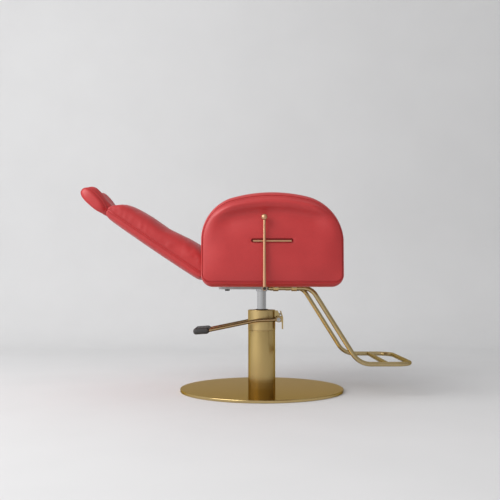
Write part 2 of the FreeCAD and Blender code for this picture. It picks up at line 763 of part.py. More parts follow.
def make_arms():
    """Both arms: timber core, soft inner and outer faces and the crowned band between them."""
    nodes = {}
    middle = core_y + core_thickness / 2
    core = Part.makeLoft([arm_outline(core_y, core_inset), arm_outline(outer_pad_y, core_inset)], True, True)
    steps = [arm_outline(core_y, band_crown), arm_outline(core_y + core_thickness / 6, band_crown / 3),
             arm_outline(middle, 0), arm_outline(outer_pad_y - core_thickness / 6, band_crown / 3),
             arm_outline(outer_pad_y, band_crown)]
    hole = Part.makeLoft([arm_outline(core_y - overrun, core_inset),
                          arm_outline(outer_pad_y + overrun, core_inset)], True, True)
    band = Part.makeLoft(steps, True, True).cut(hole)
    inner = Part.makeLoft([arm_outline(arm_inner_y, band_crown + inner_pad_thickness / 2),
                           arm_outline(core_y, band_crown)], True, True)
    outer = Part.makeLoft([arm_outline(outer_pad_y, band_crown),
                           arm_outline(outer_pad_y + outer_pad_thickness * outer_pad_mid_shares[0],
                                       band_crown * outer_pad_mid_shares[1]),
                           arm_outline(face_y, pad_drawn_in)], True, True)
    outer = joined([outer, arm_roll()])
    bolts = []
    for x in (arm_rear + arm_bolt_inset, arm_rear + arm_length - arm_bolt_inset):
        z = underside + frame_height / 2
        y0 = rail_inner
        bolts.append(rod_y(arm_bolt_radius, x, z, y0, y0 + side_rail_width + arm_bolt_length).fuse(
            rod_y(arm_bolt_head_radius, x, z, y0 - arm_bolt_head_height, y0)).removeSplitter())
    core = without(core, bolts)
    inner = without(inner, bolts)
    for name, flip in (("left", False), ("right", True)):
        for piece, shape in (("core", core), ("band", band), ("inner_pad", inner), ("outer_pad", outer)):
            nodes["arm_" + piece + "_" + name] = mirrored(shape) if flip else shape
    for pair in ("inner_pad", "core"):
        both = [nodes.pop("arm_" + pair + "_left"), nodes.pop("arm_" + pair + "_right")]
        nodes["arm_" + pair + "s"] = Part.makeCompound(both)
    every = bolts + [mirrored(bolt) for bolt in bolts]
    nodes["arm_bolts"] = Part.makeCompound(every)
    return nodes, every


def stadium(x0, x1, z, half, y0, y1):
    """Bar with round ends, lying along X and running through the arm's face."""
    middle = box(x0 + half, x1 - half, y0, y1, z - half, z + half)
    return joined([middle, rod_y(half, x0 + half, z, y0, y1), rod_y(half, x1 - half, z, y0, y1)])


def make_guide():
    """Recessed liner on the near arm and the gold bar that guides the lever."""
    x0 = guide_rear - recess_margin
    x1 = guide_front + recess_margin
    deep = face_y - recess_depth
    middle = guide_z + recess_rise
    pocket = stadium(x0, x1, middle, recess_half_height, -face_y - overrun, -deep)
    liner = stadium(x0, x1, middle, recess_half_height, -face_y + liner_setback, -deep)
    hollow = stadium(x0 + liner_wall, x1 - liner_wall, middle, recess_half_height - liner_wall,
                     -face_y - overrun, -deep - liner_wall)
    bar = rod_x(guide_radius, -guide_y, guide_z, guide_rear, guide_front)
    posts = []
    for x in (guide_rear + guide_post_inset, guide_front - guide_post_inset):
        posts.append(rod_y(guide_post_radius, x, guide_z, -guide_y, -deep - liner_wall))
    return {"guide_liner": liner.cut(hollow), "guide_bar": joined([bar] + posts)}, pocket


def make_lever():
    """Recline lever: cross shaft, hub, tapered rod, ball and the finger that works the valve."""
    shaft = rod_y(lever_shaft_radius, lever_x, lever_z, -lever_y - lever_hub_thickness / 2,
                  -lever_shaft_inner)
    hub = rod_y(lever_hub_radius, lever_x, lever_z, -lever_y - lever_hub_thickness / 2,
                -lever_y + lever_hub_thickness / 2)
    rod = Part.makeCone(lever_rod_bottom_radius, lever_rod_top_radius, lever_ball_z - lever_z,
                        Vector(lever_x, -lever_y, lever_z))
    ball = Part.makeSphere(lever_ball_radius, Vector(lever_x, -lever_y, lever_ball_z))
    rod = joined([hub, rod]).cut(ball).cut(shaft)
    bolt = Part.makeCylinder(lever_bolt_radius, lever_bolt_height,
                             Vector(lever_x, -lever_y - lever_hub_thickness / 2, lever_z), Vector(0, -1, 0))
    finger = box(lever_x - finger_thickness / 2, lever_x + finger_thickness / 2, -finger_y - finger_width / 2,
                 -finger_y + finger_width / 2, lever_z, finger_top)
    root = rod_y(lever_root_radius, lever_x, lever_z, -finger_y - finger_width / 2,
                 -finger_y + finger_width / 2)
    return {"lever_shaft": joined([shaft, finger, root]), "lever_rod": rod, "lever_ball": ball,
            "lever_bolt": bolt}


def make_bearings():
    """Two bearing blocks under the near side rail that carry the lever's shaft."""
    blocks = []
    for inset in bearing_insets:
        y = frame_half_width - inset
        block = box(lever_x - bearing_half_width, lever_x + bearing_half_width, -y - bearing_length / 2,
                    -y + bearing_length / 2, lever_z - lever_shaft_radius - bearing_drop / 2, underside)
        block = block.makeChamfer(bearing_drop / 3, [e for e in edges_along_y(block)
                                                     if e.BoundBox.ZMax < lever_z])
        bore = rod_y(lever_shaft_radius + running_gap, lever_x, lever_z,
                     -y - bearing_length, -y + bearing_length)
        blocks.append(block.cut(bore))
    return {"lever_bearings": Part.makeCompound(blocks)}


def make_gas_spring():
    """Fixed rod, piston and release head, the sliding tube and the valve pin."""
    tube_body = rod_x(gas_tube_radius, -gas_y, gas_z, gas_tube_rear, gas_tube_front)
    bore = rod_x(gas_bore_radius, -gas_y, gas_z, gas_tube_rear + gas_end_wall, gas_tube_front - gas_end_wall)
    throat = rod_x(gas_rod_radius + running_gap, -gas_y, gas_z, gas_tube_front - 2 * gas_end_wall,
                   gas_tube_front + overrun)
    pin_x = back_pivot_x + crank_radius * math.sin(crank_angle)
    eye = box(pin_x - gas_eye_half_height, gas_tube_rear, -gas_y - gas_eye_thickness / 2,
              -gas_y + gas_eye_thickness / 2, gas_z - gas_eye_half_height, gas_z + gas_eye_half_height)
    eye = eye.makeFillet(gas_eye_half_height / 2, [e for e in edges_along_y(eye)
                                                   if e.BoundBox.XMax < gas_tube_rear - running_gap])
    half = crank_pin_radius + soft_gap
    y0 = -gas_y - gas_eye_thickness
    y1 = -gas_y + gas_eye_thickness
    low = gas_z - gas_slot_half_length
    high = gas_z + gas_slot_half_length
    slot = joined([box(pin_x - half, pin_x + half, y0, y1, low, high),
                   rod_y(half, pin_x, low, y0, y1), rod_y(half, pin_x, high, y0, y1)])
    tube_body = joined([tube_body, eye])
    tube_body = without(tube_body, [bore, throat, slot])
    rod = rod_x(gas_rod_radius, -gas_y, gas_z, gas_piston_x, head_block_rear + head_block_length / 2)
    piston = rod_x(gas_bore_radius - running_gap, -gas_y, gas_z,
                   gas_piston_x - gas_piston_length, gas_piston_x)
    front = head_block_rear + head_block_length
    block = box(head_block_rear, front, -gas_y - head_block_half_width, -finger_y + head_block_half_width,
                head_block_bottom, frame_top)
    valve_bore = rod_x(valve_radius + running_gap, -finger_y, valve_z, head_block_rear - overrun,
                       head_block_rear + valve_bore_length)
    block = without(block, [rod, valve_bore])
    tip = lever_x + finger_thickness / 2 + soft_gap
    valve = rod_x(valve_radius, -finger_y, valve_z, tip, tip + valve_length)
    return {"gas_tube": tube_body, "gas_rod": rod.fuse(piston).removeSplitter(), "release_head": block,
            "valve_pin": valve}


def back_outline(y, inset, crown, lower, front_side):
    """Outline of a backrest cushion in its own axes, on one side of the seam."""
    depth = back_front_depth + crown - inset
    if front_side:
        points = [Vector(back_top - inset, y, back_seam)]
        points += [Vector(back_top * share_u - inset, y, depth * share_v)
                   for share_u, share_v in back_front_shares]
        full = points[-1]
        points.append(Vector(lower + inset + (full.x - lower) * lower_round_shares[0], y,
                             depth * lower_round_shares[1]))
        points.append(Vector(lower + inset, y, depth * lower_round_shares[2]))
        edges = []
        for first in range(0, len(points) - 1, 2):
            edges.append(Part.Arc(points[first], points[first + 1], points[first + 2]).toShape())
        foot = Vector(lower + inset, y, back_seam)
        edges.append(Part.LineSegment(points[-1], foot).toShape())
        edges.append(Part.LineSegment(foot, points[0]).toShape())
        return Part.Wire(edges)
    rear = back_rear_face + inset - crown / 3
    round_off = back_border
    tilt = round_off * (1 - math.sqrt(0.5))
    top_u = back_top - inset
    low_u = lower + inset
    edges = [Part.LineSegment(Vector(top_u, y, back_seam), Vector(low_u, y, back_seam)).toShape(),
             Part.LineSegment(Vector(low_u, y, back_seam), Vector(low_u, y, rear + round_off)).toShape(),
             Part.Arc(Vector(low_u, y, rear + round_off), Vector(low_u + tilt, y, rear + tilt),
                      Vector(low_u + round_off, y, rear)).toShape(),
             Part.LineSegment(Vector(low_u + round_off, y, rear),
                              Vector(top_u - round_off, y, rear)).toShape(),
             Part.Arc(Vector(top_u - round_off, y, rear), Vector(top_u - tilt, y, rear + tilt),
                      Vector(top_u, y, rear + round_off)).toShape(),
             Part.LineSegment(Vector(top_u, y, rear + round_off), Vector(top_u, y, back_seam)).toShape()]
    return Part.Wire(edges)


def across(make_section, half, border):
    """Loft across the width: drawn-in ends, full sides and a crowned middle."""
    places = [-half + border * share for share in across_border_shares] + [0]
    steps = list(zip(places, across_draw_shares, across_crown_shares))
    steps += [(-y, inset, crown) for y, inset, crown in reversed(steps[:-1])]
    return Part.makeLoft([make_section(y, inset, crown) for y, inset, crown in steps], True, True)


def make_back():
    """Backrest: plywood board, rear shell, front cushion, hinge plates, crank and post sleeves."""
    board = box(back_cushion_bottom, back_board_top, -back_board_half_width, back_board_half_width,
                back_mid - back_board_thickness / 2, back_mid + back_board_thickness / 2)
    rear_v = back_mid - back_board_thickness / 2
    front_v = back_mid + back_board_thickness / 2
    plate_end = back_cushion_bottom + hinge_plate_length
    outline = [(0, hinge_eye_radius), (back_cushion_bottom, front_v), (plate_end, front_v),
               (plate_end, rear_v), (back_cushion_bottom, rear_v),
               (-hinge_eye_radius / 2, -hinge_eye_radius)]
    inner = back_board_half_width
    plates = []
    for y0 in (inner, -inner - hinge_plate_thickness):
        plate = plate_xz(outline, y0, y0 + hinge_plate_thickness)
        eye = rod_y(hinge_eye_radius, 0, 0, y0, y0 + hinge_plate_thickness)
        hole = rod_y(hinge_pin_radius + running_gap, 0, 0, y0 - overrun, y0 + hinge_plate_thickness + overrun)
        plates.append(joined([plate, eye]).cut(hole))
    pin_u = -crank_radius * math.cos(math.radians(90 - back_slope) - crank_angle)
    pin_v = -crank_radius * math.sin(math.radians(90 - back_slope) - crank_angle)
    cheeks = []
    spacing = gas_eye_thickness / 2 + crank_side_gap
    crank_end = back_cushion_bottom + crank_length
    arm = [(pin_u, pin_v + crank_eye_radius), (back_cushion_bottom, front_v), (crank_end, front_v),
           (crank_end, rear_v), (back_cushion_bottom, rear_v), (pin_u, pin_v - crank_eye_radius)]
    for y0 in (gas_y + spacing, gas_y - spacing - crank_plate_thickness):
        cheek = joined([plate_xz(arm, y0, y0 + crank_plate_thickness),
                        rod_y(crank_eye_radius, pin_u, pin_v, y0, y0 + crank_plate_thickness)])
        cheeks.append(cheek)
    reach = spacing + crank_plate_thickness
    pin = rod_y(crank_pin_radius, pin_u, pin_v, gas_y - reach, gas_y + reach)
    cheeks = [cheek.cut(pin) for cheek in cheeks]
    sleeves = []
    posts = []
    for y in (-post_half_spacing, post_half_spacing):
        flange_top = back_top + sleeve_flange_thickness
        sleeve = joined([rod_x(sleeve_radius, y, back_mid, sleeve_bottom, back_top),
                         rod_x(sleeve_flange_radius, y, back_mid, back_top, flange_top)])
        way = rod_x(post_radius + running_gap, y, back_mid, sleeve_bottom - overrun, flange_top + overrun)
        posts.append(rod_x(sleeve_radius, y, back_mid, sleeve_bottom, back_top + overrun))
        sleeves.append(sleeve.cut(way))
    board = without(board, cheeks + posts)
    solids = [box(back_cushion_bottom - overrun, back_board_top, -back_board_half_width,
                  back_board_half_width, rear_v, front_v)] + posts
    hollows = []
    for y0 in (inner, -inner - hinge_plate_thickness):
        hollows.append(plate_xz(outline, y0, y0 + hinge_plate_thickness))

    def front_section(y, inset, crown):
        return back_outline(y, back_drawn_in * inset, back_crown * crown, back_cushion_bottom, True)

    def rear_section(y, inset, crown):
        return back_outline(y, back_drawn_in * inset, back_crown * crown, back_shell_bottom, False)

    cushion = across(front_section, back_half_width, back_border)
    shell = across(rear_section, back_half_width, back_border)
    aside = reach + soft_gap
    notch = box(back_shell_bottom - overrun, back_cushion_bottom, gas_y - aside, gas_y + aside,
                pin_v - crank_eye_radius - soft_gap, back_seam + overrun)
    cushion = without(cushion, solids + hollows)
    shell = without(shell, solids + hollows + [notch])
    return {"back_board": to_back(board), "back_cushion": to_back(cushion), "back_shell": to_back(shell),
            "hinge_plates": to_back(Part.makeCompound(plates)),
            "gas_crank": to_back(Part.makeCompound(cheeks + [pin])),
            "post_sleeves": to_back(Part.makeCompound(sleeves))}


def make_brackets():
    """Hinge brackets on the seat frame, with their pins and screws."""
    brackets = []
    pins = []
    screws = []
    for side in (-1, 1):
        inner = back_board_half_width + hinge_plate_thickness + bracket_gap
        y = sorted((side * inner, side * (inner + bracket_thickness)))
        top = frame_top + bracket_thickness
        web = plate_xz([(back_pivot_x, back_pivot_z + hinge_eye_radius), (bracket_front, top),
                        (bracket_front, frame_top), (frame_rear, frame_top),
                        (back_pivot_x - hinge_eye_radius, back_pivot_z)], y[0], y[1])
        eye = rod_y(hinge_eye_radius, back_pivot_x, back_pivot_z, y[0], y[1])
        flange_y = sorted((side * inner, side * (inner + bracket_flange_width)))
        flange = box(frame_rear, bracket_front, flange_y[0], flange_y[1], frame_top, top)
        pin_y = sorted((side * back_board_half_width, side * (inner + bracket_thickness)))
        pin = rod_y(hinge_pin_radius, back_pivot_x, back_pivot_z, pin_y[0], pin_y[1])
        cap = Part.makeCylinder(hinge_pin_head_radius, hinge_pin_head_height,
                                Vector(back_pivot_x, side * back_board_half_width, back_pivot_z),
                                Vector(0, -side, 0))
        bracket = joined([web, eye, flange]).cut(pin)
        for x in bracket_screw_xs:
            y_screw = side * (inner + bracket_thickness + (bracket_flange_width - bracket_thickness) / 2)
            screw = joined([ring(screw_radius, 0, top - screw_length, screw_length, (x, y_screw)),
                            ring(screw_head_radius, 0, top, screw_head_height, (x, y_screw))])
            bracket = bracket.cut(screw)
            screws.append(screw)
        brackets.append(bracket)
        pins.append(pin.fuse(cap).removeSplitter())
    return {"hinge_brackets": Part.makeCompound(brackets), "hinge_pins": Part.makeCompound(pins)}, screws


def make_headrest():
    """Headrest: cradle-shaped pad, its board and two posts."""
    length = head_top - head_bottom
    depth = head_front_face - head_rear_face

    def section(y, inset, hollow):
        draw = head_border * inset / 2
        points = []
        for share_u, share_v in head_outline_shares:
            u = head_bottom + draw + (length - 2 * draw) * share_u
            v = head_rear_face + draw + (depth - 2 * draw - head_cradle * hollow) * share_v
            points.append(Vector(u, y, v))
        edges = []
        for first in range(0, len(points), 2):
            last = (first + 2) % len(points)
            edges.append(Part.Arc(points[first], points[first + 1], points[last]).toShape())
        return Part.Wire(edges)

    pad = across(section, head_half_width, head_border)
    middle = back_mid
    board = box(head_board_bottom, head_board_top, -head_board_half_width, head_board_half_width,
                middle - head_board_thickness / 2, middle + head_board_thickness / 2)
    posts = []
    for y in (-post_half_spacing, post_half_spacing):
        posts.append(rod_x(post_radius, y, middle, post_bottom, post_top))
    board = without(board, posts)
    pad = without(pad, [board] + posts)
    return {"headrest_pad": to_back(pad), "headrest_board": to_back(board),
            "headrest_posts": to_back(Part.makeCompound(posts))}


def make_footrest():
    """Looped footrest tube, its cross bar, end caps, clamps and screws."""
    near = [Vector(footrest_start_x, -footrest_half_width, tube_z),
            Vector(footrest_knee_x, -footrest_half_width, tube_z),
            Vector(footrest_low_x, -footrest_half_width, footrest_low_z),
            Vector(footrest_end_x, -footrest_half_width, footrest_low_z)]
    far = [Vector(point.x, -point.y, point.z) for point in reversed(near)]
    bends = [footrest_knee_radius, footrest_low_radius, footrest_end_radius]
    loop = tube(near + far, bends + bends[::-1], footrest_tube_radius)
    bar = rod_y(footrest_tube_radius, footrest_bar_x, footrest_low_z,
                -footrest_half_width, footrest_half_width)
    bar = bar.cut(loop)
    bar = max(bar.Solids, key=lambda solid: solid.Volume)
    caps = []
    clamps = []
    screws = []
    outer = footrest_tube_radius + clamp_wall
    seat_on = underside - clamp_wall
    for y in (-footrest_half_width, footrest_half_width):
        caps.append(rod_x(footrest_tube_radius, y, tube_z, footrest_start_x - footrest_cap_thickness,
                          footrest_start_x))
        for x in clamp_xs:
            x0 = x - clamp_width / 2
            x1 = x + clamp_width / 2
            wide = outer + clamp_flange
            saddle = joined([rod_x(outer, y, tube_z, x0, x1),
                             box(x0, x1, y - outer, y + outer, tube_z, underside),
                             box(x0, x1, y - wide, y + wide, seat_on, underside)])
            above = box(x0, x1, y - wide, y + wide, underside, underside + outer)
            way = joined([rod_x(footrest_tube_radius, y, tube_z, x0, x1),
                          box(x0, x1, y - footrest_tube_radius, y + footrest_tube_radius,
                              tube_z, underside)])
            saddle = without(saddle, [above, way])
            for offset in (-outer - clamp_flange / 2, outer + clamp_flange / 2):
                screw = joined([ring(screw_radius, 0, seat_on, screw_length, (x, y + offset)),
                                ring(screw_head_radius, 0, seat_on - screw_head_height, screw_head_height,
                                     (x, y + offset))])
                saddle = saddle.cut(screw)
                screws.append(screw)
            clamps.append(saddle)
    return {"footrest_tube": loop, "footrest_bar": bar, "footrest_caps": Part.makeCompound(caps),
            "footrest_clamps": Part.makeCompound(clamps)}, screws


def build():
    """All the nodes of the chair."""
    nodes = make_base()
    nodes.update(make_column())
    nodes["base_weight"] = nodes["base_weight"].cut(nodes["foot_bolts"])
    opening = ring(column_radius - column_wall, 0, weight_top, base_height)
    nodes["base_cover"] = nodes["base_cover"].cut(opening)
    nodes.update(make_pump_block())
    nodes.update(make_pedal())
    nodes.update(make_plunger())
    nodes.update(make_ram())
    mounting, shanks = make_mounting()
    nodes.update(mounting)
    nodes.update(make_seat_frame(shanks))
    nodes.update(make_seat_cushion())
    arms, arm_bolts = make_arms()
    nodes.update(arms)
    guide, pocket = make_guide()
    nodes.update(guide)
    nodes["arm_outer_pad_right"] = nodes["arm_outer_pad_right"].cut(pocket)
    nodes["arm_cores"] = nodes["arm_cores"].cut(pocket)
    nodes.update(make_lever())
    nodes.update(make_bearings())
    nodes.update(make_gas_spring())
    nodes.update(make_back())
    brackets, bracket_screws = make_brackets()
    nodes.update(brackets)
    nodes.update(make_headrest())
    footrest, clamp_screws = make_footrest()
    nodes.update(footrest)
    nodes["frame_screws"] = Part.makeCompound(bracket_screws + clamp_screws)
    nodes["seat_frame"] = without(nodes["seat_frame"], arm_bolts + bracket_screws + clamp_screws)
    return nodes


os.makedirs("parts", exist_ok=True)
for node, shape in build().items():
    shape.exportStep(os.path.join("parts", node + ".step"))
    print(node, len(shape.Solids), shape.isValid(), round(shape.Volume))
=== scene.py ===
import math

import bmesh
import bpy
import numpy as np
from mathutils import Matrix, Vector
from mathutils.bvhtree import BVHTree
from mathutils.kdtree import KDTree


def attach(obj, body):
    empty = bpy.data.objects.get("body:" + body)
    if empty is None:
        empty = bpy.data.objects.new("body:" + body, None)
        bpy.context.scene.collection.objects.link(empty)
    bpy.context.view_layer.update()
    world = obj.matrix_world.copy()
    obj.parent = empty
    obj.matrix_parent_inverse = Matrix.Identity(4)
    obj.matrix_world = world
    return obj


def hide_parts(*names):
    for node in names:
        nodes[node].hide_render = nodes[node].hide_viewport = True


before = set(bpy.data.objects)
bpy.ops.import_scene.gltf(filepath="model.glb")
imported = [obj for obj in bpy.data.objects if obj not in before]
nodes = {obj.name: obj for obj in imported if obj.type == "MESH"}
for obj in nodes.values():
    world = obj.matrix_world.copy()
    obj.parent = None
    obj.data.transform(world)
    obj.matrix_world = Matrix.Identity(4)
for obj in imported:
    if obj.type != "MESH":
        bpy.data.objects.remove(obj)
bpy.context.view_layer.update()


# Red leatherette of every cushion and cover: a close pebble grain with painted shade in its grooves,
# faint clouds of colour and a soft satin sheen. It is pulled over foam and sewn, so its bump stays fine.
def feed(tree, node, values):
    """Sets the inputs of a node, or links them where the value is another node's socket."""
    for key, value in values.items():
        if isinstance(value, bpy.types.NodeSocket):
            tree.links.new(value, node.inputs[key])
        else:
            node.inputs[key].default_value = value


def put(tree, kind, values=None, **settings):
    """Adds a node with its settings and its inputs."""
    made = tree.nodes.new(kind)
    for key, value in settings.items():
        setattr(made, key, value)
    feed(tree, made, values or {})
    return made


def new_material(name):
    """A material, its node tree, its main shader, and the place on the piece."""
    made = bpy.data.materials.new(name)
    made.use_nodes = True
    tree = made.node_tree
    place = put(tree, "ShaderNodeTexCoord").outputs["Object"]
    return made, tree, tree.nodes["Principled BSDF"], place


def noise(tree, place, scale, detail):
    """Cloudy pattern of a given scale, as a value from 0 to 1."""
    made = put(tree, "ShaderNodeTexNoise", {"Vector": place, "Scale": scale, "Detail": detail})
    return made.outputs["Fac"]


def ramp(tree, source, first, last, start=0.3, stop=0.7):
    """Colour that goes from one shade to another as a value rises."""
    made = put(tree, "ShaderNodeValToRGB", {"Fac": source})
    for element, place, colour in zip(made.color_ramp.elements, (start, stop), (first, last)):
        element.position = place
        element.color = (*colour, 1.0)
    return made.outputs["Color"]


def mapped(tree, source, low, high):
    """A value from 0 to 1 stretched to a new range."""
    made = put(tree, "ShaderNodeMapRange", {"Value": source, "To Min": low, "To Max": high})
    return made.outputs["Result"]


def bump(tree, height, strength, depth, under=None):
    """Bump of a given depth from a pattern, laid over another bump if there is one."""
    made = put(tree, "ShaderNodeBump", {"Height": height, "Strength": strength, "Distance": depth})
    if under is not None:
        tree.links.new(under, made.inputs["Normal"])
    return made.outputs[0]


def leather(name, dark, light):
    """Grained leatherette between two close shades."""
    made, tree, shader, place = new_material(name)
    cloud = noise(tree, place, 11.0, 4.0)
    bent = put(tree, "ShaderNodeTexNoise", {"Vector": place, "Scale": 240.0, "Detail": 2.0})
    wander = (0.0016, 0.0016, 0.0016)
    moved = put(tree, "ShaderNodeVectorMath", {0: bent.outputs["Color"], 1: wander}, operation="MULTIPLY")
    warped = put(tree, "ShaderNodeVectorMath", {0: place, 1: moved.outputs[0]}, operation="ADD")
    cells = put(tree, "ShaderNodeTexVoronoi", {"Vector": warped.outputs[0], "Scale": 620.0},
                feature="DISTANCE_TO_EDGE")
    rounded = put(tree, "ShaderNodeMapRange", {"Value": cells.outputs["Distance"], "From Max": 0.22})
    pebble = rounded.outputs[0]
    # The grain's grooves are mixed up to a fifth towards black: painted shade in the grooves.
    groove_shade = (0.0, 0.0, 0.0, 1.0)
    shades = ramp(tree, cloud, dark, light)
    # Inputs 0, 6 and 7 of a colour mix are its factor and its two colours.
    shaded_grooves = put(tree, "ShaderNodeMix", {0: mapped(tree, pebble, 0.80, 1.0), 6: groove_shade, 7: shades},
                 data_type="RGBA")
    soft = bump(tree, noise(tree, place, 42.0, 3.0), 0.12, 0.0012)
    feed(tree, shader, {"Base Color": shaded_grooves.outputs[2],
                        "Roughness": mapped(tree, cloud, 0.42, 0.52),
                        "Specular IOR Level": 0.62,
                        "Normal": bump(tree, pebble, 0.28, 0.0002, soft)})
    return made


red = leather("red_leatherette", (0.50, 0.020, 0.022), (0.56, 0.028, 0.029))


# Sewing thread of the seams: matt, twisted and darker than the leatherette; the darker red is partly
# painted shade along the seam lines. It is sewn through the covers beside each welt and seam.
def thread(name, colour):
    """Twisted sewing thread."""
    made, tree, shader, place = new_material(name)
    twist = put(tree, "ShaderNodeTexWave", {"Vector": place, "Scale": 900.0, "Distortion": 2.0},
                bands_direction="DIAGONAL").outputs["Fac"]
    shade = tuple(0.7 * part for part in colour)
    feed(tree, shader, {"Base Color": ramp(tree, twist, shade, colour, 0.0, 1.0),
                        "Roughness": 0.7,
                        "Normal": bump(tree, twist, 0.4, 0.0002)})
    return made


# Real stitches in a darker red, which also paints the shade of the seam grooves.
red_thread_and_seam_shade = thread("red_thread_and_seam_shade", (0.36, 0.030, 0.030))


# Metals of the base, column, ram, footrest, levers and fittings. Each is polished, brushed or
# turned along the direction of the real tool marks, with slight changes of roughness.
def metal(name, dark, light, edge, rough, marks, stretch, depth):
    """Metal between two close shades, with its tint at the edges and stretched tool marks."""
    made, tree, shader, place = new_material(name)
    drawn = put(tree, "ShaderNodeMapping", {"Vector": place, "Scale": stretch}).outputs[0]
    lines = put(tree, "ShaderNodeTexNoise",
                {"Vector": drawn, "Scale": marks, "Detail": 5.0, "Roughness": 0.6}).outputs["Fac"]
    cloud = noise(tree, place, 14.0, 4.0)
    both = put(tree, "ShaderNodeMath", {0: lines, 1: cloud}, operation="MULTIPLY").outputs[0]
    feed(tree, shader, {"Base Color": ramp(tree, cloud, dark, light),
                        "Metallic": 1.0,
                        "Specular Tint": (*edge, 1.0),
                        "Roughness": mapped(tree, both, rough * 0.85, rough * 1.25),
                        "Normal": bump(tree, lines, 0.25, depth)})
    return made


def coated(name, dark, light, rough, size, depth):
    """Paint, rubber, plastic or cast skin with a fine even texture."""
    made, tree, shader, place = new_material(name)
    fine = noise(tree, place, size, 4.0)
    cloud = noise(tree, place, 25.0, 3.0)
    feed(tree, shader, {"Base Color": ramp(tree, cloud, dark, light),
                        "Roughness": mapped(tree, cloud, rough * 0.9, rough * 1.15),
                        "Normal": bump(tree, fine, 0.3, depth)})
    return made


def timber(name, dark, light):
    """Raw timber and plywood with long grain."""
    made, tree, shader, place = new_material(name)
    drawn = put(tree, "ShaderNodeMapping", {"Vector": place, "Scale": (1.0, 9.0, 9.0)}).outputs[0]
    grain = put(tree, "ShaderNodeTexNoise",
                {"Vector": drawn, "Scale": 14.0, "Detail": 7.0, "Distortion": 0.6}).outputs["Fac"]
    feed(tree, shader, {"Base Color": ramp(tree, grain, dark, light, 0.35, 0.65),
                        "Roughness": 0.65,
                        "Normal": bump(tree, grain, 0.3, 0.0004)})
    return made


# A metal's row: its two shades, the tint at its edges, its roughness, and the scale, the
# stretch and the depth of its tool marks.
metals = {
    "gold_polished": ((0.55, 0.415, 0.192), (0.59, 0.447, 0.208), (0.56, 0.42, 0.20),
                      0.13, 60.0, (1.0, 14.0, 1.0), 0.00002),
    "gold_brushed": ((0.58, 0.425, 0.190), (0.62, 0.455, 0.205), (0.60, 0.44, 0.19),
                     0.33, 30.0, (1.0, 1.0, 40.0), 0.00006),
    # Gold of the guide bar and the lever, tinted pink: partly their metal, partly a painted reflection of
    # the red arm.
    "gold_with_painted_red_reflection": ((0.61, 0.355, 0.205), (0.66, 0.39, 0.23), (0.40, 0.25, 0.13),
                  0.46, 60.0, (1.0, 1.0, 6.0), 0.00002),
    "tube_gold": ((0.47, 0.36, 0.185), (0.52, 0.40, 0.205), (0.58, 0.47, 0.27),
                  0.24, 50.0, (1.0, 9.0, 1.0), 0.00003),
    "column_gold": ((0.500, 0.360, 0.148), (0.538, 0.388, 0.160), (0.53, 0.39, 0.16),
                    0.17, 9.0, (26.0, 26.0, 1.0), 0.00012),
    "rod_gold": ((0.44, 0.312, 0.165), (0.49, 0.350, 0.185), (0.46, 0.33, 0.17),
                 0.11, 60.0, (1.0, 1.0, 6.0), 0.00002),
    "steel_dark": ((0.045, 0.042, 0.040), (0.075, 0.070, 0.066), (0.3, 0.3, 0.3),
                   0.38, 120.0, (1.0, 1.0, 1.0), 0.00008),
    "chrome": ((0.56, 0.56, 0.57), (0.62, 0.62, 0.63), (0.75, 0.75, 0.76),
               0.09, 40.0, (1.0, 1.0, 30.0), 0.00002),
    "zinc": ((0.40, 0.40, 0.41), (0.50, 0.50, 0.51), (0.7, 0.7, 0.7),
             0.30, 160.0, (1.0, 1.0, 1.0), 0.00006),
}
# A coat's row: its two shades, its roughness, and the scale and the depth of its texture.
coats = {
    "steel_grey": ((0.48, 0.48, 0.485), (0.54, 0.54, 0.545), 0.40, 900.0, 0.0001),
    "cast": ((0.10, 0.10, 0.10), (0.14, 0.14, 0.14), 0.62, 420.0, 0.0004),
    "rubber": ((0.034, 0.034, 0.034), (0.047, 0.046, 0.045), 0.55, 1400.0, 0.0002),
    "plastic_black": ((0.014, 0.010, 0.010), (0.022, 0.015, 0.015), 0.45, 1100.0, 0.0001),
    "plastic_red": ((0.52, 0.026, 0.028), (0.57, 0.032, 0.034), 0.50, 1100.0, 0.0001),
}
finishes = {"red_leather": red, "plywood": timber("plywood", (0.44, 0.28, 0.14), (0.60, 0.42, 0.24))}
for name, values in metals.items():
    finishes[name] = metal(name, *values)
for name, values in coats.items():
    finishes[name] = coated(name, *values)
for node in nodes.values():
    for holder in node.material_slots:
        holder.material = finishes[holder.material.name.split(".")[0]]
own_finish = {
    "pedal_yoke": "rod_gold",
    # The guide bar and the lever take the pink-tinted gold with its painted reflection of the red arm.
    "guide_bar": "gold_with_painted_red_reflection",
    "lever_rod": "gold_with_painted_red_reflection",
    "lever_ball": "gold_with_painted_red_reflection",
    "footrest_tube": "tube_gold",
    "footrest_bar": "tube_gold",
    "column_sleeve": "column_gold",
}
for name, finish in own_finish.items():
    nodes[name].material_slots[0].material = finishes[finish]


# Arms: foam over a timber core, with a crowned band sewn between an outer and an inner face.
# The outer face has a padded roll under the top seam, and is bolted to the seat frame.
arm_back = -0.2065
arm_foot = 0.381
arm_length = 0.473
arm_height = 0.3155
arm_corner = 0.040
outer_face = 0.3225
inner_face = 0.2505
seam_inset = 0.0155
pocket_start = -0.0411
pocket_end = 0.0975
pocket_level = 0.5326
pocket_half = 0.0068


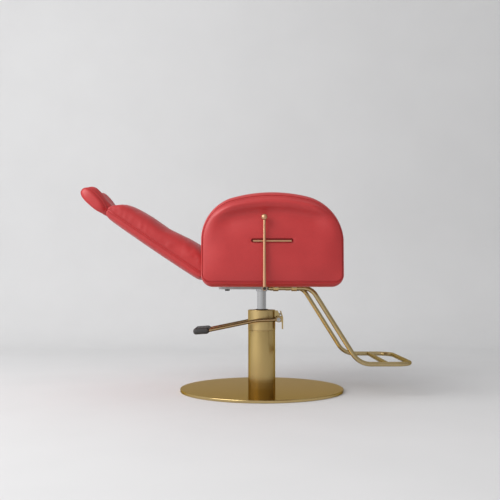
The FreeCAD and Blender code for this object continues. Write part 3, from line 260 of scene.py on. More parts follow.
def arc(first, via, last, count):
    """Points on the circle arc through three points, without the last one."""
    (ax, ay), (bx, by), (cx, cy) = first, via, last
    det = 2 * (ax * (by - cy) + bx * (cy - ay) + cx * (ay - by))
    sa, sb, sc = ax * ax + ay * ay, bx * bx + by * by, cx * cx + cy * cy
    ux = (sa * (by - cy) + sb * (cy - ay) + sc * (ay - by)) / det
    uy = (sa * (cx - bx) + sb * (ax - cx) + sc * (bx - ax)) / det
    start = math.atan2(ay - uy, ax - ux)
    middle = (math.atan2(by - uy, bx - ux) - start) % math.tau
    turn = (math.atan2(cy - uy, cx - ux) - start) % math.tau
    if middle > turn:
        turn -= math.tau
    angles = start + turn * np.arange(count) / count
    radius = math.hypot(ax - ux, ay - uy)
    return np.stack([ux + radius * np.cos(angles), uy + radius * np.sin(angles)], 1)


def line(first, last, count):
    """Points on a straight run, without the last one."""
    shares = (np.arange(count) / count)[:, None]
    return np.array(first) * (1 - shares) + np.array(last) * shares


def arm_outline(inset):
    """Side outline of an arm as (x, z) points in metres, with four corners for its grid."""
    side_share = 0.40
    x0 = arm_back + side_share * inset
    z0 = arm_foot + inset
    length = arm_length - 2 * side_share * inset
    height = arm_height - 2 * inset
    x1 = x0 + length
    corner = max(arm_corner - inset, 0.005)
    tilt = corner * (1 - math.sqrt(0.5))

    def at(share_x, share_z):
        return x0 + length * share_x, z0 + height * share_z

    parts = [line((x0 + corner, z0), (x1 - corner, z0), 60),
             arc((x1 - corner, z0), (x1 - tilt, z0 + tilt), (x1, z0 + corner), 14),
             line((x1, z0 + corner), at(1, 0.498), 26),
             arc(at(1, 0.498), at(0.9235, 0.786), at(0.7617, 0.949), 40),
             arc(at(0.7617, 0.949), at(0.518, 1.0), at(0.2034, 0.935), 60),
             arc(at(0.2034, 0.935), at(0.0634, 0.780), at(0, 0.498), 40),
             line(at(0, 0.498), (x0, z0 + corner), 26),
             arc((x0, z0 + corner), (x0 + tilt, z0 + tilt), (x0 + corner, z0), 14)]
    # Places of the lower front corner, of the two upper turns and of the lower back corner.
    corners = (67, 118, 222, 273)
    return np.concatenate(parts), corners


def face_grid(outline, corners, steps):
    """Square grid bent to fill an outline: (steps + 1) squared points, edge rows on the outline."""
    crowding = 1.7
    count = len(outline)
    centre = outline.mean(0)
    centre[1] = (outline[:, 1].min() + outline[:, 1].max()) / 2
    sides = []
    order = (corners[3], corners[0], corners[1], corners[2], corners[3])
    for start, stop in zip(order, order[1:]):
        run = outline[np.arange(start, start + (stop - start) % count + 1) % count]
        along = np.concatenate([[0], np.cumsum(np.linalg.norm(np.diff(run, axis=0), axis=1))])
        sides.append((run, along / along[-1]))
    points = np.zeros((steps + 1, steps + 1, 2))
    for i in range(steps + 1):
        for j in range(steps + 1):
            a = 2 * i / steps - 1
            b = 2 * j / steps - 1
            reach = max(abs(a), abs(b))
            if reach == 0:
                points[i, j] = centre
                continue
            if b == -reach and a < reach:
                side, share = 0, (a / reach + 1) / 2
            elif a == reach and b < reach:
                side, share = 1, (b / reach + 1) / 2
            elif b == reach and a > -reach:
                side, share = 2, (1 - a / reach) / 2
            else:
                side, share = 3, (1 - b / reach) / 2
            run, along = sides[side]
            rim = np.array([np.interp(share, along, run[:, 0]), np.interp(share, along, run[:, 1])])
            points[i, j] = centre + (rim - centre) * (1 - (1 - reach) ** crowding)
    return points


def grid_rim(steps):
    """Indices of the points round the edge of a square grid, in order."""
    size = steps + 1
    rim = [i * size for i in range(size)] + [steps * size + j for j in range(1, size)]
    return rim + [i * size + steps for i in range(steps - 1, -1, -1)] + list(range(steps - 1, 0, -1))


def edge_distance(points, outline):
    """Distance of each point from a closed outline."""
    shortest_run = 1e-12
    flat = points.reshape(-1, 2)
    ends = np.roll(outline, -1, axis=0)
    best = np.full(len(flat), np.inf)
    for first, last in zip(outline, ends):
        run = last - first
        share = np.clip(((flat - first) @ run) / max(run @ run, shortest_run), 0, 1)
        best = np.minimum(best, np.linalg.norm(flat - first - share[:, None] * run, axis=1))
    return best.reshape(points.shape[:-1])


def smooth_step(low, high, value):
    """Soft step from 0 to 1 between two values."""
    share = np.clip((value - low) / (high - low), 0, 1)
    return share * share * (3 - 2 * share)


def new_object(name, data):
    """Object in the scene that holds some data."""
    made = bpy.data.objects.new(name, data)
    bpy.context.scene.collection.objects.link(made)
    return made


def evaluated_mesh(piece):
    """Mesh of an object with its modifiers or its bevel applied."""
    bpy.context.view_layer.update()
    graph = bpy.context.evaluated_depsgraph_get()
    return bpy.data.meshes.new_from_object(piece.evaluated_get(graph))


def mesh_object(name, points, faces):
    """Closed smooth leatherette mesh with outward faces."""
    mesh = bpy.data.meshes.new(name)
    mesh.from_pydata([tuple(float(part) for part in point) for point in points], [], faces)
    work = bmesh.new()
    work.from_mesh(mesh)
    bmesh.ops.remove_doubles(work, verts=work.verts, dist=0.00001)
    bmesh.ops.recalc_face_normals(work, faces=work.faces)
    work.to_mesh(mesh)
    work.free()
    mesh.materials.append(red)
    mesh.shade_smooth()
    return new_object(name, mesh)


def grid_faces(rows, columns, wrap_rows=False, wrap_columns=False):
    """Quads of a grid of points, closed on itself where it wraps."""
    faces = []
    for i in range(rows if wrap_rows else rows - 1):
        for j in range(columns if wrap_columns else columns - 1):
            k = (i + 1) % rows
            m = (j + 1) % columns
            faces.append((i * columns + j, k * columns + j, k * columns + m, i * columns + m))
    return faces


def pad(name, outline, corners, steps, depth, place):
    """Pillow on an outline: a padded front, and a flat back that lies on what it covers."""
    points = face_grid(outline, corners, steps)
    rises = depth(points, edge_distance(points, outline))
    front = [place(point, rise) for point, rise in zip(points.reshape(-1, 2), rises.reshape(-1))]
    faces = grid_faces(steps + 1, steps + 1)
    rim = grid_rim(steps)
    back = len(front)
    front.append(place(points[steps // 2, steps // 2], 0.0))
    faces += [(back, here, after) for here, after in zip(rim, rim[1:] + rim[:1])]
    return mesh_object(name, front, faces)


def outer_depth(points, gap):
    """How far the outer face stands out: rolled top, hollow under it, turned-in edges."""
    top_turn, foot_turn = 0.034, 0.007
    swell_reach, swell_back, swell_front, swell_foot = 0.080, -0.2003, 0.2603, 0.3965
    foot_edge, foot_swell = 0.0045, 0.0113
    top_edge, top_swell = 0.0128, 0.0030
    sunk = 0.002
    crest_top, crest_fall, crest_middle = 0.6406, 0.86, 0.030
    roll_height, roll_lift, roll_width = 0.0108, 0.021, 0.0165
    hollow_depth, hollow_lift, hollow_width = 0.0112, 0.006, 0.029
    least_rise, edge_zone = 0.0022, 0.012
    lip_depth, lip_width = 0.0012, 0.004
    x, z = points[..., 0], points[..., 1]
    turn = np.clip(gap / top_turn, 0, 1)
    brief = np.clip(gap / foot_turn, 0, 1)
    swell = 1.0
    for reach in (x - swell_back, swell_front - x, z - swell_foot):
        share = np.clip(reach / swell_reach, 0, 1)
        swell = swell * share * (2 - share)
    upper = smooth_step(0.50, 0.62, z)
    low_rise = foot_edge * (brief * (2 - brief)) ** 0.6 + foot_swell * swell
    high_rise = top_edge * (turn * (2 - turn)) ** 0.66 + top_swell * swell
    rise = low_rise * (1 - upper) + high_rise * upper - sunk
    crest = crest_top - crest_fall * (x - crest_middle) ** 2
    here = smooth_step(-0.190, -0.100, x) * (1 - smooth_step(0.160, 0.240, x))
    inside = smooth_step(0.0, 0.018, gap)
    roll = roll_height * np.exp(-((z - crest - roll_lift) / roll_width) ** 2)
    under = np.maximum(crest + hollow_lift - z, 0) / hollow_width
    hollow = hollow_depth * under ** 2 * np.exp(2 - 2 * under)
    pocket_middle = (pocket_start + pocket_end) / 2
    near = np.abs(z - pocket_level) - pocket_half
    side = np.maximum(np.abs(x - pocket_middle) - (pocket_end - pocket_start) / 2, 0)
    lip = np.sqrt(np.maximum(near, 0) ** 2 + side ** 2)
    deep = rise + (roll - hollow) * here * inside
    deep = np.where(gap > edge_zone, np.maximum(deep, least_rise + 0.25 * np.maximum(deep, 0)), deep)
    return deep - lip_depth * np.exp(-lip / lip_width)


def inner_depth(points, gap):
    """Inner face beside the seat cushion: flat, with turned-in edges."""
    inner_rise, inner_turn = 0.0098, 0.02
    return inner_rise * (1 - (1 - np.clip(gap / inner_turn, 0, 1)) ** 2.5)


def band(name, sign):
    """Crowned band round the edge of an arm, tucked in at both seams."""
    half = [(0.0018, 0.0158), (0.0009, 0.0156), (-0.0004, 0.0150), (-0.0009, 0.0140), (-0.0006, 0.0128),
            (0.0004, 0.0116), (0.0022, 0.0102), (0.0045, 0.0088), (0.008, 0.0066), (0.012, 0.0046),
            (0.018, 0.0024), (0.024, 0.0010), (0.030, 0.0003), (0.036, 0.0)]
    tuck_in, tuck_inset = 0.002, 0.0168
    section = [(inner_face + width, inset) for width, inset in half]
    section += [(outer_face - width, inset) for width, inset in reversed(half[:-1])]
    section += [(outer_face - tuck_in, tuck_inset), (inner_face + tuck_in, tuck_inset)]
    points = []
    for y, inset in section:
        outline, _ = arm_outline(inset)
        points += [(x, sign * y, z) for x, z in outline]
    faces = grid_faces(len(section), len(outline), wrap_rows=True, wrap_columns=True)
    return mesh_object(name, points, faces)


def stitch_nodes():
    """Node group that lays stitches of one length and pitch along a run of edges."""
    tree = bpy.data.node_groups.new("stitches", "GeometryNodeTree")
    sockets = {}
    for label, kind in (("Seam", "Geometry"), ("Pitch", "Float"), ("Thickness", "Float"),
                        ("Stretch", "Float"), ("Thread", "Material")):
        made = tree.interface.new_socket(name=label, in_out="INPUT", socket_type="NodeSocket" + kind)
        sockets[label] = made.identifier
    tree.interface.new_socket(name="Stitches", in_out="OUTPUT", socket_type="NodeSocketGeometry")
    given = put(tree, "NodeGroupInput").outputs
    curve = put(tree, "GeometryNodeMeshToCurve", {"Mesh": given["Seam"]})
    even = put(tree, "GeometryNodeResampleCurve",
               {"Curve": curve.outputs["Curve"], "Length": given["Pitch"]}, mode="LENGTH")
    tangent = put(tree, "GeometryNodeInputTangent").outputs["Tangent"]
    turn = put(tree, "FunctionNodeAlignRotationToVector", {"Vector": tangent}, axis="Z")
    bead = put(tree, "GeometryNodeMeshUVSphere", {"Segments": 8, "Rings": 6, "Radius": given["Thickness"]})
    size = put(tree, "ShaderNodeCombineXYZ", {"X": 1.0, "Y": 1.0, "Z": given["Stretch"]})
    stitch = put(tree, "GeometryNodeTransform",
                 {"Geometry": bead.outputs["Mesh"], "Scale": size.outputs["Vector"]})
    spread = put(tree, "GeometryNodeInstanceOnPoints",
                 {"Points": even.outputs["Curve"], "Instance": stitch.outputs["Geometry"],
                  "Rotation": turn.outputs["Rotation"]})
    real = put(tree, "GeometryNodeRealizeInstances", {"Geometry": spread.outputs["Instances"]})
    smooth = put(tree, "GeometryNodeSetShadeSmooth", {"Geometry": real.outputs["Geometry"]})
    paint = put(tree, "GeometryNodeSetMaterial",
                {"Geometry": smooth.outputs["Geometry"], "Material": given["Thread"]})
    put(tree, "NodeGroupOutput", {"Stitches": paint.outputs["Geometry"]})
    return tree, sockets


stitch_tree, stitch_sockets = stitch_nodes()
stitch_pitch = 0.0052
thread_radius = 0.00042
stitch_stretch = 4.4
thread_lift = 0.0001


def stitches(name, runs, body):
    """Row of thread stitches along closed runs of points, riding on one body."""
    points = []
    edges = []
    for run in runs:
        first = len(points)
        points += [tuple(float(part) for part in point) for point in run]
        edges += [(first + k, first + (k + 1) % len(run)) for k in range(len(run))]
    mesh = bpy.data.meshes.new(name)
    mesh.from_pydata(points, edges, [])
    holder = new_object(name, mesh)
    sewing = holder.modifiers.new("sewing", "NODES")
    sewing.node_group = stitch_tree
    sewing[stitch_sockets["Pitch"]] = stitch_pitch
    sewing[stitch_sockets["Thickness"]] = thread_radius
    sewing[stitch_sockets["Stretch"]] = stitch_stretch
    sewing[stitch_sockets["Thread"]] = red_thread_and_seam_shade
    sewn = evaluated_mesh(holder)
    bpy.data.objects.remove(holder)
    made = new_object(name, sewn)
    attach(made, body)


outer_steps = 150
inner_steps = 60
seam_outline, arm_corners = arm_outline(seam_inset)
arm_pieces = {}
for side, sign in (("left", 1), ("right", -1)):
    made = pad("arm_outer_face_" + side, seam_outline, arm_corners, outer_steps, outer_depth,
               lambda point, rise, sign=sign: (point[0], sign * (outer_face + rise), point[1]))
    arm_pieces["arm_outer_pad_" + side] = made
    arm_pieces["arm_band_" + side] = band("arm_edge_band_" + side, sign)
    inner = pad("arm_inner_face_" + side, seam_outline, arm_corners, inner_steps, inner_depth,
                lambda point, rise, sign=sign: (point[0], sign * (inner_face - rise), point[1]))
    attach(inner, "seat")
    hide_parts("arm_inner_pads")
stitch_inset = 0.0200
stitch_gap = 0.0045
stitch_line, _ = arm_outline(stitch_inset)
stitch_rise = outer_depth(stitch_line, np.full(len(stitch_line), stitch_gap)) + thread_lift
stitch_runs = []
for sign in (1, -1):
    stitch_runs.append([(x, sign * (outer_face + rise), z)
                        for (x, z), rise in zip(stitch_line, stitch_rise)])
stitches("arm_stitches", stitch_runs, "seat")
for cad_name, made in arm_pieces.items():
    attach(made, "seat")
    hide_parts(cad_name)


# Pocket in the near arm's face for the liner of the guide bar: cut through the padding, with
# the leatherette turned in round it.
pocket_outside = -0.36
pocket_inside = -0.30


def stadium(start, end, level, half, y0, y1, count=20):
    """Closed bar with round ends, to cut a pocket with."""
    angles = np.linspace(-math.pi / 2, math.pi / 2, count)
    right = [(end - half + half * math.cos(a), level + half * math.sin(a)) for a in angles]
    left = [(start + half - half * math.cos(a), level - half * math.sin(a)) for a in angles]
    ring = right + left
    points = [(x, y0, z) for x, z in ring] + [(x, y1, z) for x, z in ring]
    total = len(ring)
    faces = [tuple(range(total)), tuple(range(total, 2 * total))]
    faces += [(k, (k + 1) % total, total + (k + 1) % total, total + k) for k in range(total)]
    return mesh_object("pocket", points, faces)


pocket = stadium(pocket_start, pocket_end, pocket_level, pocket_half, pocket_outside, pocket_inside)
near_face = arm_pieces["arm_outer_pad_right"]
cut = near_face.modifiers.new("pocket", "BOOLEAN")
cut.operation = "DIFFERENCE"
cut.solver = "EXACT"
cut.object = pocket
opened = evaluated_mesh(near_face)
near_face.modifiers.clear()
near_face.data = opened
opened.set_sharp_from_angle(angle=math.radians(35))
bpy.data.objects.remove(pocket)


# Backrest: a front cushion and a rear shell over one board, sewn together with a welt round
# the sides. It hinges on the seat frame, and the cushion swells at the top and at the waist.
lean = math.radians(34)
up = Vector((-math.cos(lean), 0, math.sin(lean)))
out = Vector((math.sin(lean), 0, math.cos(lean)))
pivot = Vector((-0.190, 0, 0.438))
seam_level = -0.019
back_top = 0.399
back_half = 0.232
cushion_low = 0.024
shell_low = 0.002
ear_start = 0.935
ear_end = 0.955


def on_back(u, y, v):
    """A place given up the back, across it and out of it, in the chair's own frame."""
    return pivot + up * u + Vector((0, y, 0)) + out * v


def through(points, count):
    """Smooth line through points, evenly spaced."""
    between = 12
    points = np.array(points, float)
    padded_run = np.concatenate([2 * points[:1] - points[1:2], points, 2 * points[-1:] - points[-2:-1]])
    found = []
    for k in range(len(points) - 1):
        p0, p1, p2, p3 = padded_run[k:k + 4]
        for t in np.arange(between) / between:
            found.append(0.5 * (2 * p1 + (p2 - p0) * t + (2 * p0 - 5 * p1 + 4 * p2 - p3) * t ** 2
                                + (3 * p1 - p0 - 3 * p2 + p3) * t ** 3))
    found.append(points[-1])
    found = np.array(found)
    along = np.concatenate([[0], np.cumsum(np.linalg.norm(np.diff(found, axis=0), axis=1))])
    even = np.linspace(0, along[-1], count)
    return np.stack([np.interp(even, along, found[:, 0]), np.interp(even, along, found[:, 1])], 1)


def drawn_height(share):
    """Height of the back's outline as a share of its full height, with its rounded corners."""
    plan = 12.0
    return 0.97 + 0.03 * max(1 - abs(share) ** plan, 0) ** (1 / plan)


def across_back(name, profile, low, ear, power, swell):
    """Cushion swept across the back: full in the middle, pinched in at the seam all round."""
    least, top_blend, ear_blend = 0.0001, (0.25, 0.35), 0.05
    pinch_depth, pinch_reach, half_height = 0.0028, 0.0034, 0.19
    falls = np.concatenate([[0.0, 0.008, 0.017, 0.028, 0.042, 0.06, 0.08], np.linspace(0.11, 0.86, 15)])
    edge = (1 - falls ** power) ** (1 / power)
    inward = np.linspace(edge[-1], 0, 34)[1:]
    right = np.concatenate([edge, inward])
    depth = np.concatenate([falls, (1 - inward ** power) ** (1 / power)])
    stations = [(-share, fall) for share, fall in zip(right, depth)]
    stations += [(share, fall) for share, fall in zip(right[-2::-1], depth[-2::-1])]
    middle = (low + back_top) / 2
    points = []
    for share, fall in stations:
        draw = drawn_height(share)
        more = fall * (1 + swell * (1 - share * share))
        for u, v in profile:
            top = smooth_step(*top_blend, u)
            u = u * (1 - top) + (middle + (u - middle) * draw) * top
            lowest = 1 - smooth_step(low, low + ear_blend, u)
            u -= (low - ear) * smooth_step(ear_start, ear_end, abs(share)) * lowest
            v = seam_level + (v - seam_level) * max(more, least)
            pinch = pinch_depth * math.exp(-abs(v - seam_level) / pinch_reach)
            points.append(on_back(u + (middle - u) * pinch / half_height, (back_half - pinch) * share, v))
    faces = grid_faces(len(stations), len(profile), wrap_columns=True)
    return mesh_object(name, points, faces)


def settle(piece, voxel, swell, fold, held):
    """Cloth simulation of a stuffed cover, held at its seam, whose swelling and folds are kept.

    The piece takes over both up to a limit each, so that its seams and its size stay.
    """
    pressure, growth, last_frame = 1.5, 0.03, 20
    smoothing, neighbours, nearness = 50, 5, 0.0008
    bag = new_object("bag", piece.data.copy())
    skin = bag.modifiers.new("skin", "REMESH")
    skin.mode = "VOXEL"
    skin.voxel_size = voxel
    mesh = evaluated_mesh(bag)
    bag.modifiers.clear()
    bag.data = mesh
    count = len(mesh.vertices)
    start = np.empty(count * 3)
    mesh.vertices.foreach_get("co", start)
    start = start.reshape(-1, 3)
    pins = bag.vertex_groups.new(name="held")
    pins.add([int(k) for k in np.nonzero(held(start))[0]], 1.0, "REPLACE")
    cloth = bag.modifiers.new("cloth", "CLOTH")
    cloth.settings.use_pressure = True
    cloth.settings.uniform_pressure_force = pressure
    cloth.settings.effector_weights.gravity = 0
    cloth.settings.vertex_group_mass = "held"
    cloth.settings.shrink_min = -growth
    cloth.point_cache.frame_start = 1
    cloth.point_cache.frame_end = last_frame
    for frame_number in range(1, last_frame + 1):
        bpy.context.scene.frame_set(frame_number)
    settled = bag.evaluated_get(bpy.context.evaluated_depsgraph_get())
    end = np.empty(count * 3)
    settled.data.vertices.foreach_get("co", end)
    move = end.reshape(-1, 3) - start
    edges = np.empty(len(mesh.edges) * 2, int)
    mesh.edges.foreach_get("vertices", edges)
    one, other = edges.reshape(-1, 2).T
    ties = np.bincount(one, minlength=count) + np.bincount(other, minlength=count)
    mean = move.copy()
    for _ in range(smoothing):
        total = np.zeros_like(mean)
        np.add.at(total, one, mean[other])
        np.add.at(total, other, mean[one])
        mean = total / ties[:, None]
    crease = move - mean
    mean *= (swell / (swell + np.linalg.norm(mean, axis=1)))[:, None]
    crease *= (fold / (fold + np.linalg.norm(crease, axis=1)))[:, None]
    move = mean + crease
    tree = KDTree(count)
    for k, spot in enumerate(start):
        tree.insert(spot, k)
    tree.balance()
    for vertex in piece.data.vertices:
        near = tree.find_n(vertex.co, neighbours)
        weights = np.array([1 / (gap + nearness) for _, _, gap in near])
        shift = (move[[k for _, k, _ in near]] * weights[:, None]).sum(0) / weights.sum()
        vertex.co = vertex.co + Vector(shift)
    bpy.context.scene.frame_set(1)
    bpy.data.objects.remove(bag)


def piping(name, points, radius):
    """Round leatherette welt sewn into a seam, along a closed run of points."""
    curve = bpy.data.curves.new(name, "CURVE")
    curve.dimensions = "3D"
    run = curve.splines.new("POLY")
    run.points.add(len(points) - 1)
    for spot, point in zip(run.points, points):
        spot.co = (*point, 1.0)
    run.use_cyclic_u = True
    curve.bevel_depth = radius
    curve.bevel_resolution = 3
    holder = new_object(name, curve)
    mesh = evaluated_mesh(holder)
    bpy.data.objects.remove(holder)
    mesh.name = name
    mesh.materials.clear()
    mesh.materials.append(red)
    mesh.shade_smooth()
    return new_object(name, mesh)


def laid_on(piece, run, lift):
    """Run of points laid on a piece's surface, raised by a small lift."""
    mesh = piece.data
    corners = [vertex.co for vertex in mesh.vertices]
    tree = BVHTree.FromPolygons(corners, [face.vertices for face in mesh.polygons])
    laid = []
    for point in run:
        spot, normal, _, _ = tree.find_nearest(Vector(point))
        laid.append(spot + normal * lift)
    return laid


front_run = through([(0.399, -0.019), (0.4005, -0.006), (0.393, 0.012), (0.377, 0.0275), (0.355, 0.036),
                     (0.330, 0.0405), (0.303, 0.0432), (0.265, 0.0455), (0.235, 0.0445), (0.2035, 0.0436),
                     (0.175, 0.0475), (0.1436, 0.0524), (0.105, 0.0562), (0.064, 0.057), (0.042, 0.051),
                     (0.028, 0.036), (0.0235, 0.012), (0.024, -0.019)], 220)
bottom_run = line((cushion_low, seam_level), (back_top, seam_level), 40)
front_profile = np.concatenate([front_run, bottom_run[1:]])
back_cushion = across_back("back_cushion_cover", front_profile, cushion_low,
                           ear=0.004, power=4.4, swell=0.02)
back_held = -0.014
settle(back_cushion, voxel=0.006, swell=0.0012, fold=0.0022,
       held=lambda spots: (spots - np.array(pivot)) @ np.array(out) < back_held)
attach(back_cushion, "backrest")
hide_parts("back_cushion")
rear_run = through([(0.002, -0.019), (0.002, -0.030), (0.006, -0.040), (0.018, -0.0458), (0.06, -0.0475),
                    (0.13, -0.0485), (0.20, -0.049), (0.27, -0.0485), (0.34, -0.0475), (0.383, -0.0455),
                    (0.395, -0.040), (0.399, -0.030), (0.399, -0.019)], 190)
top_run = line((back_top, seam_level), (shell_low, seam_level), 40)
rear_profile = np.concatenate([rear_run, top_run[1:]])
back_shell = across_back("back_shell_cover", rear_profile, shell_low, ear=0.002, power=5.0, swell=0.03)
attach(back_shell, "backrest")
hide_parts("back_shell")
welt_half = 0.2310
welt_middle = 0.2115
welt_rise = 0.1865
welt_low = 0.0255
welt_drop = 0.020
side_low = 0.01
side_high = 0.37
welt_run = []
for share in np.linspace(-1, 1, 61):
    welt_run.append(on_back(welt_middle + welt_rise * drawn_height(share), welt_half * share, seam_level))
welt_run += [on_back(u, welt_half, seam_level) for u in np.linspace(side_high, side_low, 34)]
for share in np.linspace(0.99, -0.99, 121):
    lower = welt_low - welt_drop * smooth_step(ear_start, ear_end, abs(share))
    welt_run.append(on_back(lower, welt_half * share, seam_level))
welt_run += [on_back(u, -welt_half, seam_level) for u in np.linspace(side_low, side_high, 34)]
back_welt = piping("back_welt", welt_run, radius=0.0022)
stitch_offset = out * 0.0062
front_stitches = laid_on(back_cushion, [Vector(point) + stitch_offset for point in welt_run], thread_lift)
rear_stitches = laid_on(back_shell, [Vector(point) - stitch_offset for point in welt_run], thread_lift)
stitches("back_stitches", [front_stitches, rear_stitches], "backrest")
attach(back_welt, "backrest")


# Headrest: a stuffed pillow with a hollow across its front for the head, on two posts that
# slide in the backrest.
head_half = 0.122
head_grow = 1.08
head_rings = 97
head_held = 0.108
head_welt_share = 0.90
head_stitch_share = 0.945
welt_lift = 0.0003
head_run = [(0.0, 0.54), (0.10, 0.66), (0.26, 0.75), (0.47, 0.90), (0.68, 1.0), (0.80, 0.99), (0.91, 0.86),
            (0.985, 0.66), (1.0, 0.48), (0.985, 0.31), (0.93, 0.18), (0.75, 0.075), (0.52, 0.04),
            (0.25, 0.02), (0.06, 0.03), (0.0, 0.12), (-0.02, 0.33), (0.0, 0.54)]
head_profile = through(head_run, 121)[:-1]


def signed_power(value, power):
    """Power of a value's size, with the value's sign."""
    return math.copysign(abs(value) ** power, value)


def head_ring(share):
    """Outline of the pillow at one place across its width: two wings with a hollow between."""
    least, blunt_end, hollow_reach, hollow_depth = 0.0001, 4.2, 0.66, 0.75
    mid_u, mid_v = 0.4795, -0.022
    low_u, height = 0.421, 0.117
    low_v, thickness = -0.044, 0.063
    flat_from, flattening = 0.0045, 0.88
    oval_lift, oval_back = 0.0035, 0.0018
    oval_thick, oval_taper = 0.0232, 0.040
    oval_cos, oval_sin = 0.985, 0.174
    fall = max(1 - abs(share) ** blunt_end, 0) ** (1 / blunt_end)
    hollow = hollow_depth * max(1 - (abs(share) / hollow_reach) ** 2, 0) ** 1.5
    oval = smooth_step(0.68, 0.99, abs(share))
    ring = []
    for k, (u, v) in enumerate(head_profile):
        over = low_u + height * u
        front = low_v + thickness * v
        front -= max(front + flat_from, 0) * (1 - flattening * (1 - hollow))
        angle = math.tau * k / len(head_profile)
        length, blunt = (0.0600, 0.94) if math.cos(angle) > 0 else (0.0690, 0.66)
        along = -length * signed_power(math.cos(angle), blunt) + oval_lift
        thick = (oval_thick + oval_taper * along) * signed_power(math.sin(angle), 0.84)
        over += oval * (mid_u + oval_cos * along - oval_sin * thick - over)
        front += oval * (mid_v - oval_back + oval_sin * along + oval_cos * thick - front)
        reach = max(fall, least) * head_grow * (1 + 0.06 * smooth_step(0.40, 0.78, abs(share)))
        over = mid_u + (over - mid_u) * reach
        front = mid_v + (front - mid_v) * reach
        ring.append(on_back(over, head_half * share, front))
    return ring


head_points = []
for share in np.sin(np.linspace(-math.pi / 2, math.pi / 2, head_rings)):
    head_points += head_ring(share)
head_faces = grid_faces(head_rings, len(head_profile), wrap_columns=True)
headrest = mesh_object("headrest_cover", head_points, head_faces)
settle(headrest, voxel=0.004, swell=0.0010, fold=0.0016,
       held=lambda spots: np.abs(spots[:, 1]) > head_held)
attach(headrest, "headrest")
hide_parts("headrest_pad")
head_runs = []
for side, share in (("left", head_welt_share), ("right", -head_welt_share)):
    head_welt_run = laid_on(headrest, head_ring(share), welt_lift)
    head_welt = piping("headrest_welt_" + side, head_welt_run, radius=0.0018)
    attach(head_welt, "headrest")
    head_runs.append(laid_on(headrest, head_ring(share * head_stitch_share), thread_lift))
stitches("headrest_stitches", head_runs, "headrest")


# Seat cushion and front apron: a crowned foam cushion on the seat board, and the upholstered
# panel stapled to the front of the frame below it.
seat_middle = 0.058
board_top = 0.4375
seat_half_x = 0.198
seat_half_y = 0.236
seat_steps = 110
seat_held = 0.0262
seat_welt_level = 0.0235
seat_stitch_level = 0.0300
apron_face = 0.240
apron_level = 0.4115


def rounded_box(half_x, half_y, corner, count=16):
    """Rounded rectangle as a closed outline, with the indices of its corners."""
    points = []
    corners = []
    for turn, (sx, sy) in enumerate(((1, -1), (1, 1), (-1, 1), (-1, -1))):
        start = -math.pi / 2 + turn * math.pi / 2
        corners.append(len(points) + count // 2)
        for k in range(count + 1):
            angle = start + math.pi / 2 * k / count
            points.append((sx * (half_x - corner) + corner * math.cos(angle),
                           sy * (half_y - corner) + corner * math.sin(angle)))
    return np.array(points), corners


def seat_depth(points, gap):
    """Crowned top of the seat cushion, rounded down to its seam."""
    side_height, edge_height, crown_height, edge_reach = 0.026, 0.022, 0.016, 0.030
    x, y = points[..., 0], points[..., 1]
    edge = 1 - (1 - np.clip(gap / edge_reach, 0, 1)) ** 2.6
    crown = crown_height * (1 - (y / seat_half_y) ** 2) * (0.55 + 0.45 * (1 - (x / seat_half_x) ** 2))
    return side_height + (edge_height + crown) * edge


def apron_depth(points, gap):
    """Padded front of the apron."""
    edge_height, apron_rise, edge_reach = 0.0035, 0.0105, 0.014
    return edge_height + apron_rise * (1 - (1 - np.clip(gap / edge_reach, 0, 1)) ** 2.4)


def round_seat(level):
    """Outline of the seat cushion at a level above its board."""
    return [(seat_middle + x, y, board_top + level) for x, y in seat_outline]


seat_outline, seat_corners = rounded_box(seat_half_x, seat_half_y, corner=0.020)
seat_grid = face_grid(seat_outline, seat_corners, seat_steps)
seat_rise = seat_depth(seat_grid, edge_distance(seat_grid, seat_outline))
seat_points = [(seat_middle + x, y, board_top + rise)
               for (x, y), rise in zip(seat_grid.reshape(-1, 2), seat_rise.reshape(-1))]
seat_faces = grid_faces(seat_steps + 1, seat_steps + 1)
rim = grid_rim(seat_steps)
rows = [rim]
for height, inward in ((0.024, 0.0022), (0.022, 0.0), (0.012, -0.0012), (0.004, 0.0008), (0.0, 0.004)):
    row = []
    for k in rim:
        x, y = seat_points[k][0] - seat_middle, seat_points[k][1]
        share = 1 - inward / math.hypot(x, y)
        row.append(len(seat_points))
        seat_points.append((seat_middle + x * share, y * share, board_top + height))
    rows.append(row)
for upper, lower in zip(rows, rows[1:]):
    for k in range(len(rim)):
        after = (k + 1) % len(rim)
        seat_faces.append((upper[k], upper[after], lower[after], lower[k]))
foot_rim = rows[-1]
for here, after in zip(foot_rim, foot_rim[1:] + foot_rim[:1]):
    seat_faces.append((len(seat_points), here, after))
seat_points.append((seat_middle, 0.0, board_top))
seat_cushion = mesh_object("seat_cushion_cover", seat_points, seat_faces)
settle(seat_cushion, voxel=0.006, swell=0.0012, fold=0.0022,
       held=lambda spots: spots[:, 2] < board_top + seat_held)
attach(seat_cushion, "seat")
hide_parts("seat_cushion")
seat_welt_run = laid_on(seat_cushion, round_seat(seat_welt_level), welt_lift)
seat_welt = piping("seat_welt", seat_welt_run, radius=0.0019)
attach(seat_welt, "seat")
seat_stitch_run = laid_on(seat_cushion, round_seat(seat_stitch_level), thread_lift)
stitches("seat_stitches", [seat_stitch_run], "seat")
apron_outline, apron_corners = rounded_box(0.2395, 0.0258, corner=0.006)
apron = pad("front_apron_cover", apron_outline, apron_corners, 90, apron_depth,
            lambda point, rise: (apron_face + rise, point[0], apron_level + point[1]))
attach(apron, "seat")
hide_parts("front_apron")


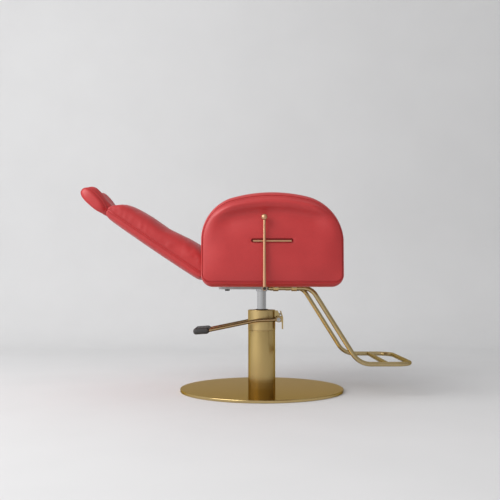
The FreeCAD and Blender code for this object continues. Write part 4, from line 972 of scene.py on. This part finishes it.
# Studio: a pale seamless floor and backdrop, one large soft key light at the upper left in
# front, and the camera level with the seat, beside the chair.
def sweep_floor():
    """Seamless floor that curves up into the backdrop."""
    half_width, near_end, bend_start, bend_radius = 6.0, -3.2, 1.7, 0.8
    wall = bend_start + bend_radius
    profile = [(near_end, 0.0)] + [(y, 0.0) for y in np.linspace(-2.5, bend_start, 12)]
    profile += [(bend_start + bend_radius * math.sin(a), bend_radius - bend_radius * math.cos(a))
                for a in np.linspace(0.1, math.pi / 2, 14)]
    profile += [(wall, height) for height in (1.6, 3.0, 5.0)]
    points = [(x, y, z) for x in (-half_width, half_width) for y, z in profile]
    mesh = bpy.data.meshes.new("studio_floor")
    mesh.from_pydata(points, [], grid_faces(2, len(profile)))
    mesh.shade_smooth()
    return new_object("studio_floor", mesh)


backdrop, paper, shader, place = new_material("studio_paper")
fibre = noise(paper, place, 3.0, 3.0)
feed(paper, shader, {"Base Color": ramp(paper, fibre, (0.715, 0.715, 0.72), (0.735, 0.735, 0.74)),
                     "Roughness": 0.8,
                     "Specular IOR Level": 0.1})
floor = sweep_floor()
floor.data.materials.append(backdrop)

sky = bpy.data.worlds.new("studio_air")
sky.use_nodes = True
air = sky.node_tree
around = put(air, "ShaderNodeTexCoord").outputs["Generated"]
sideways = put(air, "ShaderNodeSeparateXYZ", {"Vector": around}).outputs["X"]
share = put(air, "ShaderNodeMapRange", {"Value": sideways, "From Min": -1.0, "From Max": 1.0})
glow = ramp(air, share.outputs["Result"], (1.0, 1.0, 1.0), (0.50, 0.50, 0.50), 0.0, 1.0)
feed(air, air.nodes["Background"], {"Color": glow, "Strength": 0.765})
bpy.context.scene.world = sky

lamp = bpy.data.lights.new("key_light", "AREA")
lamp.shape = "SQUARE"
lamp.size = 3.0
lamp.energy = 132.0
lamp_place = Vector((-2.8, -2.0, 2.5))
lamp_target = Vector((0.0, 0.1, 0.4))
key_light = new_object("key_light", lamp)
key_light.location = lamp_place
key_light.rotation_euler = (lamp_target - lamp_place).to_track_quat("-Z", "Y").to_euler()

lens = bpy.data.cameras.new("photo_camera")
lens.lens = 50.749
lens.sensor_width = 36.0
camera = new_object("photo_camera", lens)
camera.location = (-0.05033, -2.62847, 0.38111)
camera.rotation_euler = (math.radians(93.0), 0.0, math.radians(-0.150))
bpy.context.scene.camera = camera
bpy.context.scene.view_settings.view_transform = "Standard"
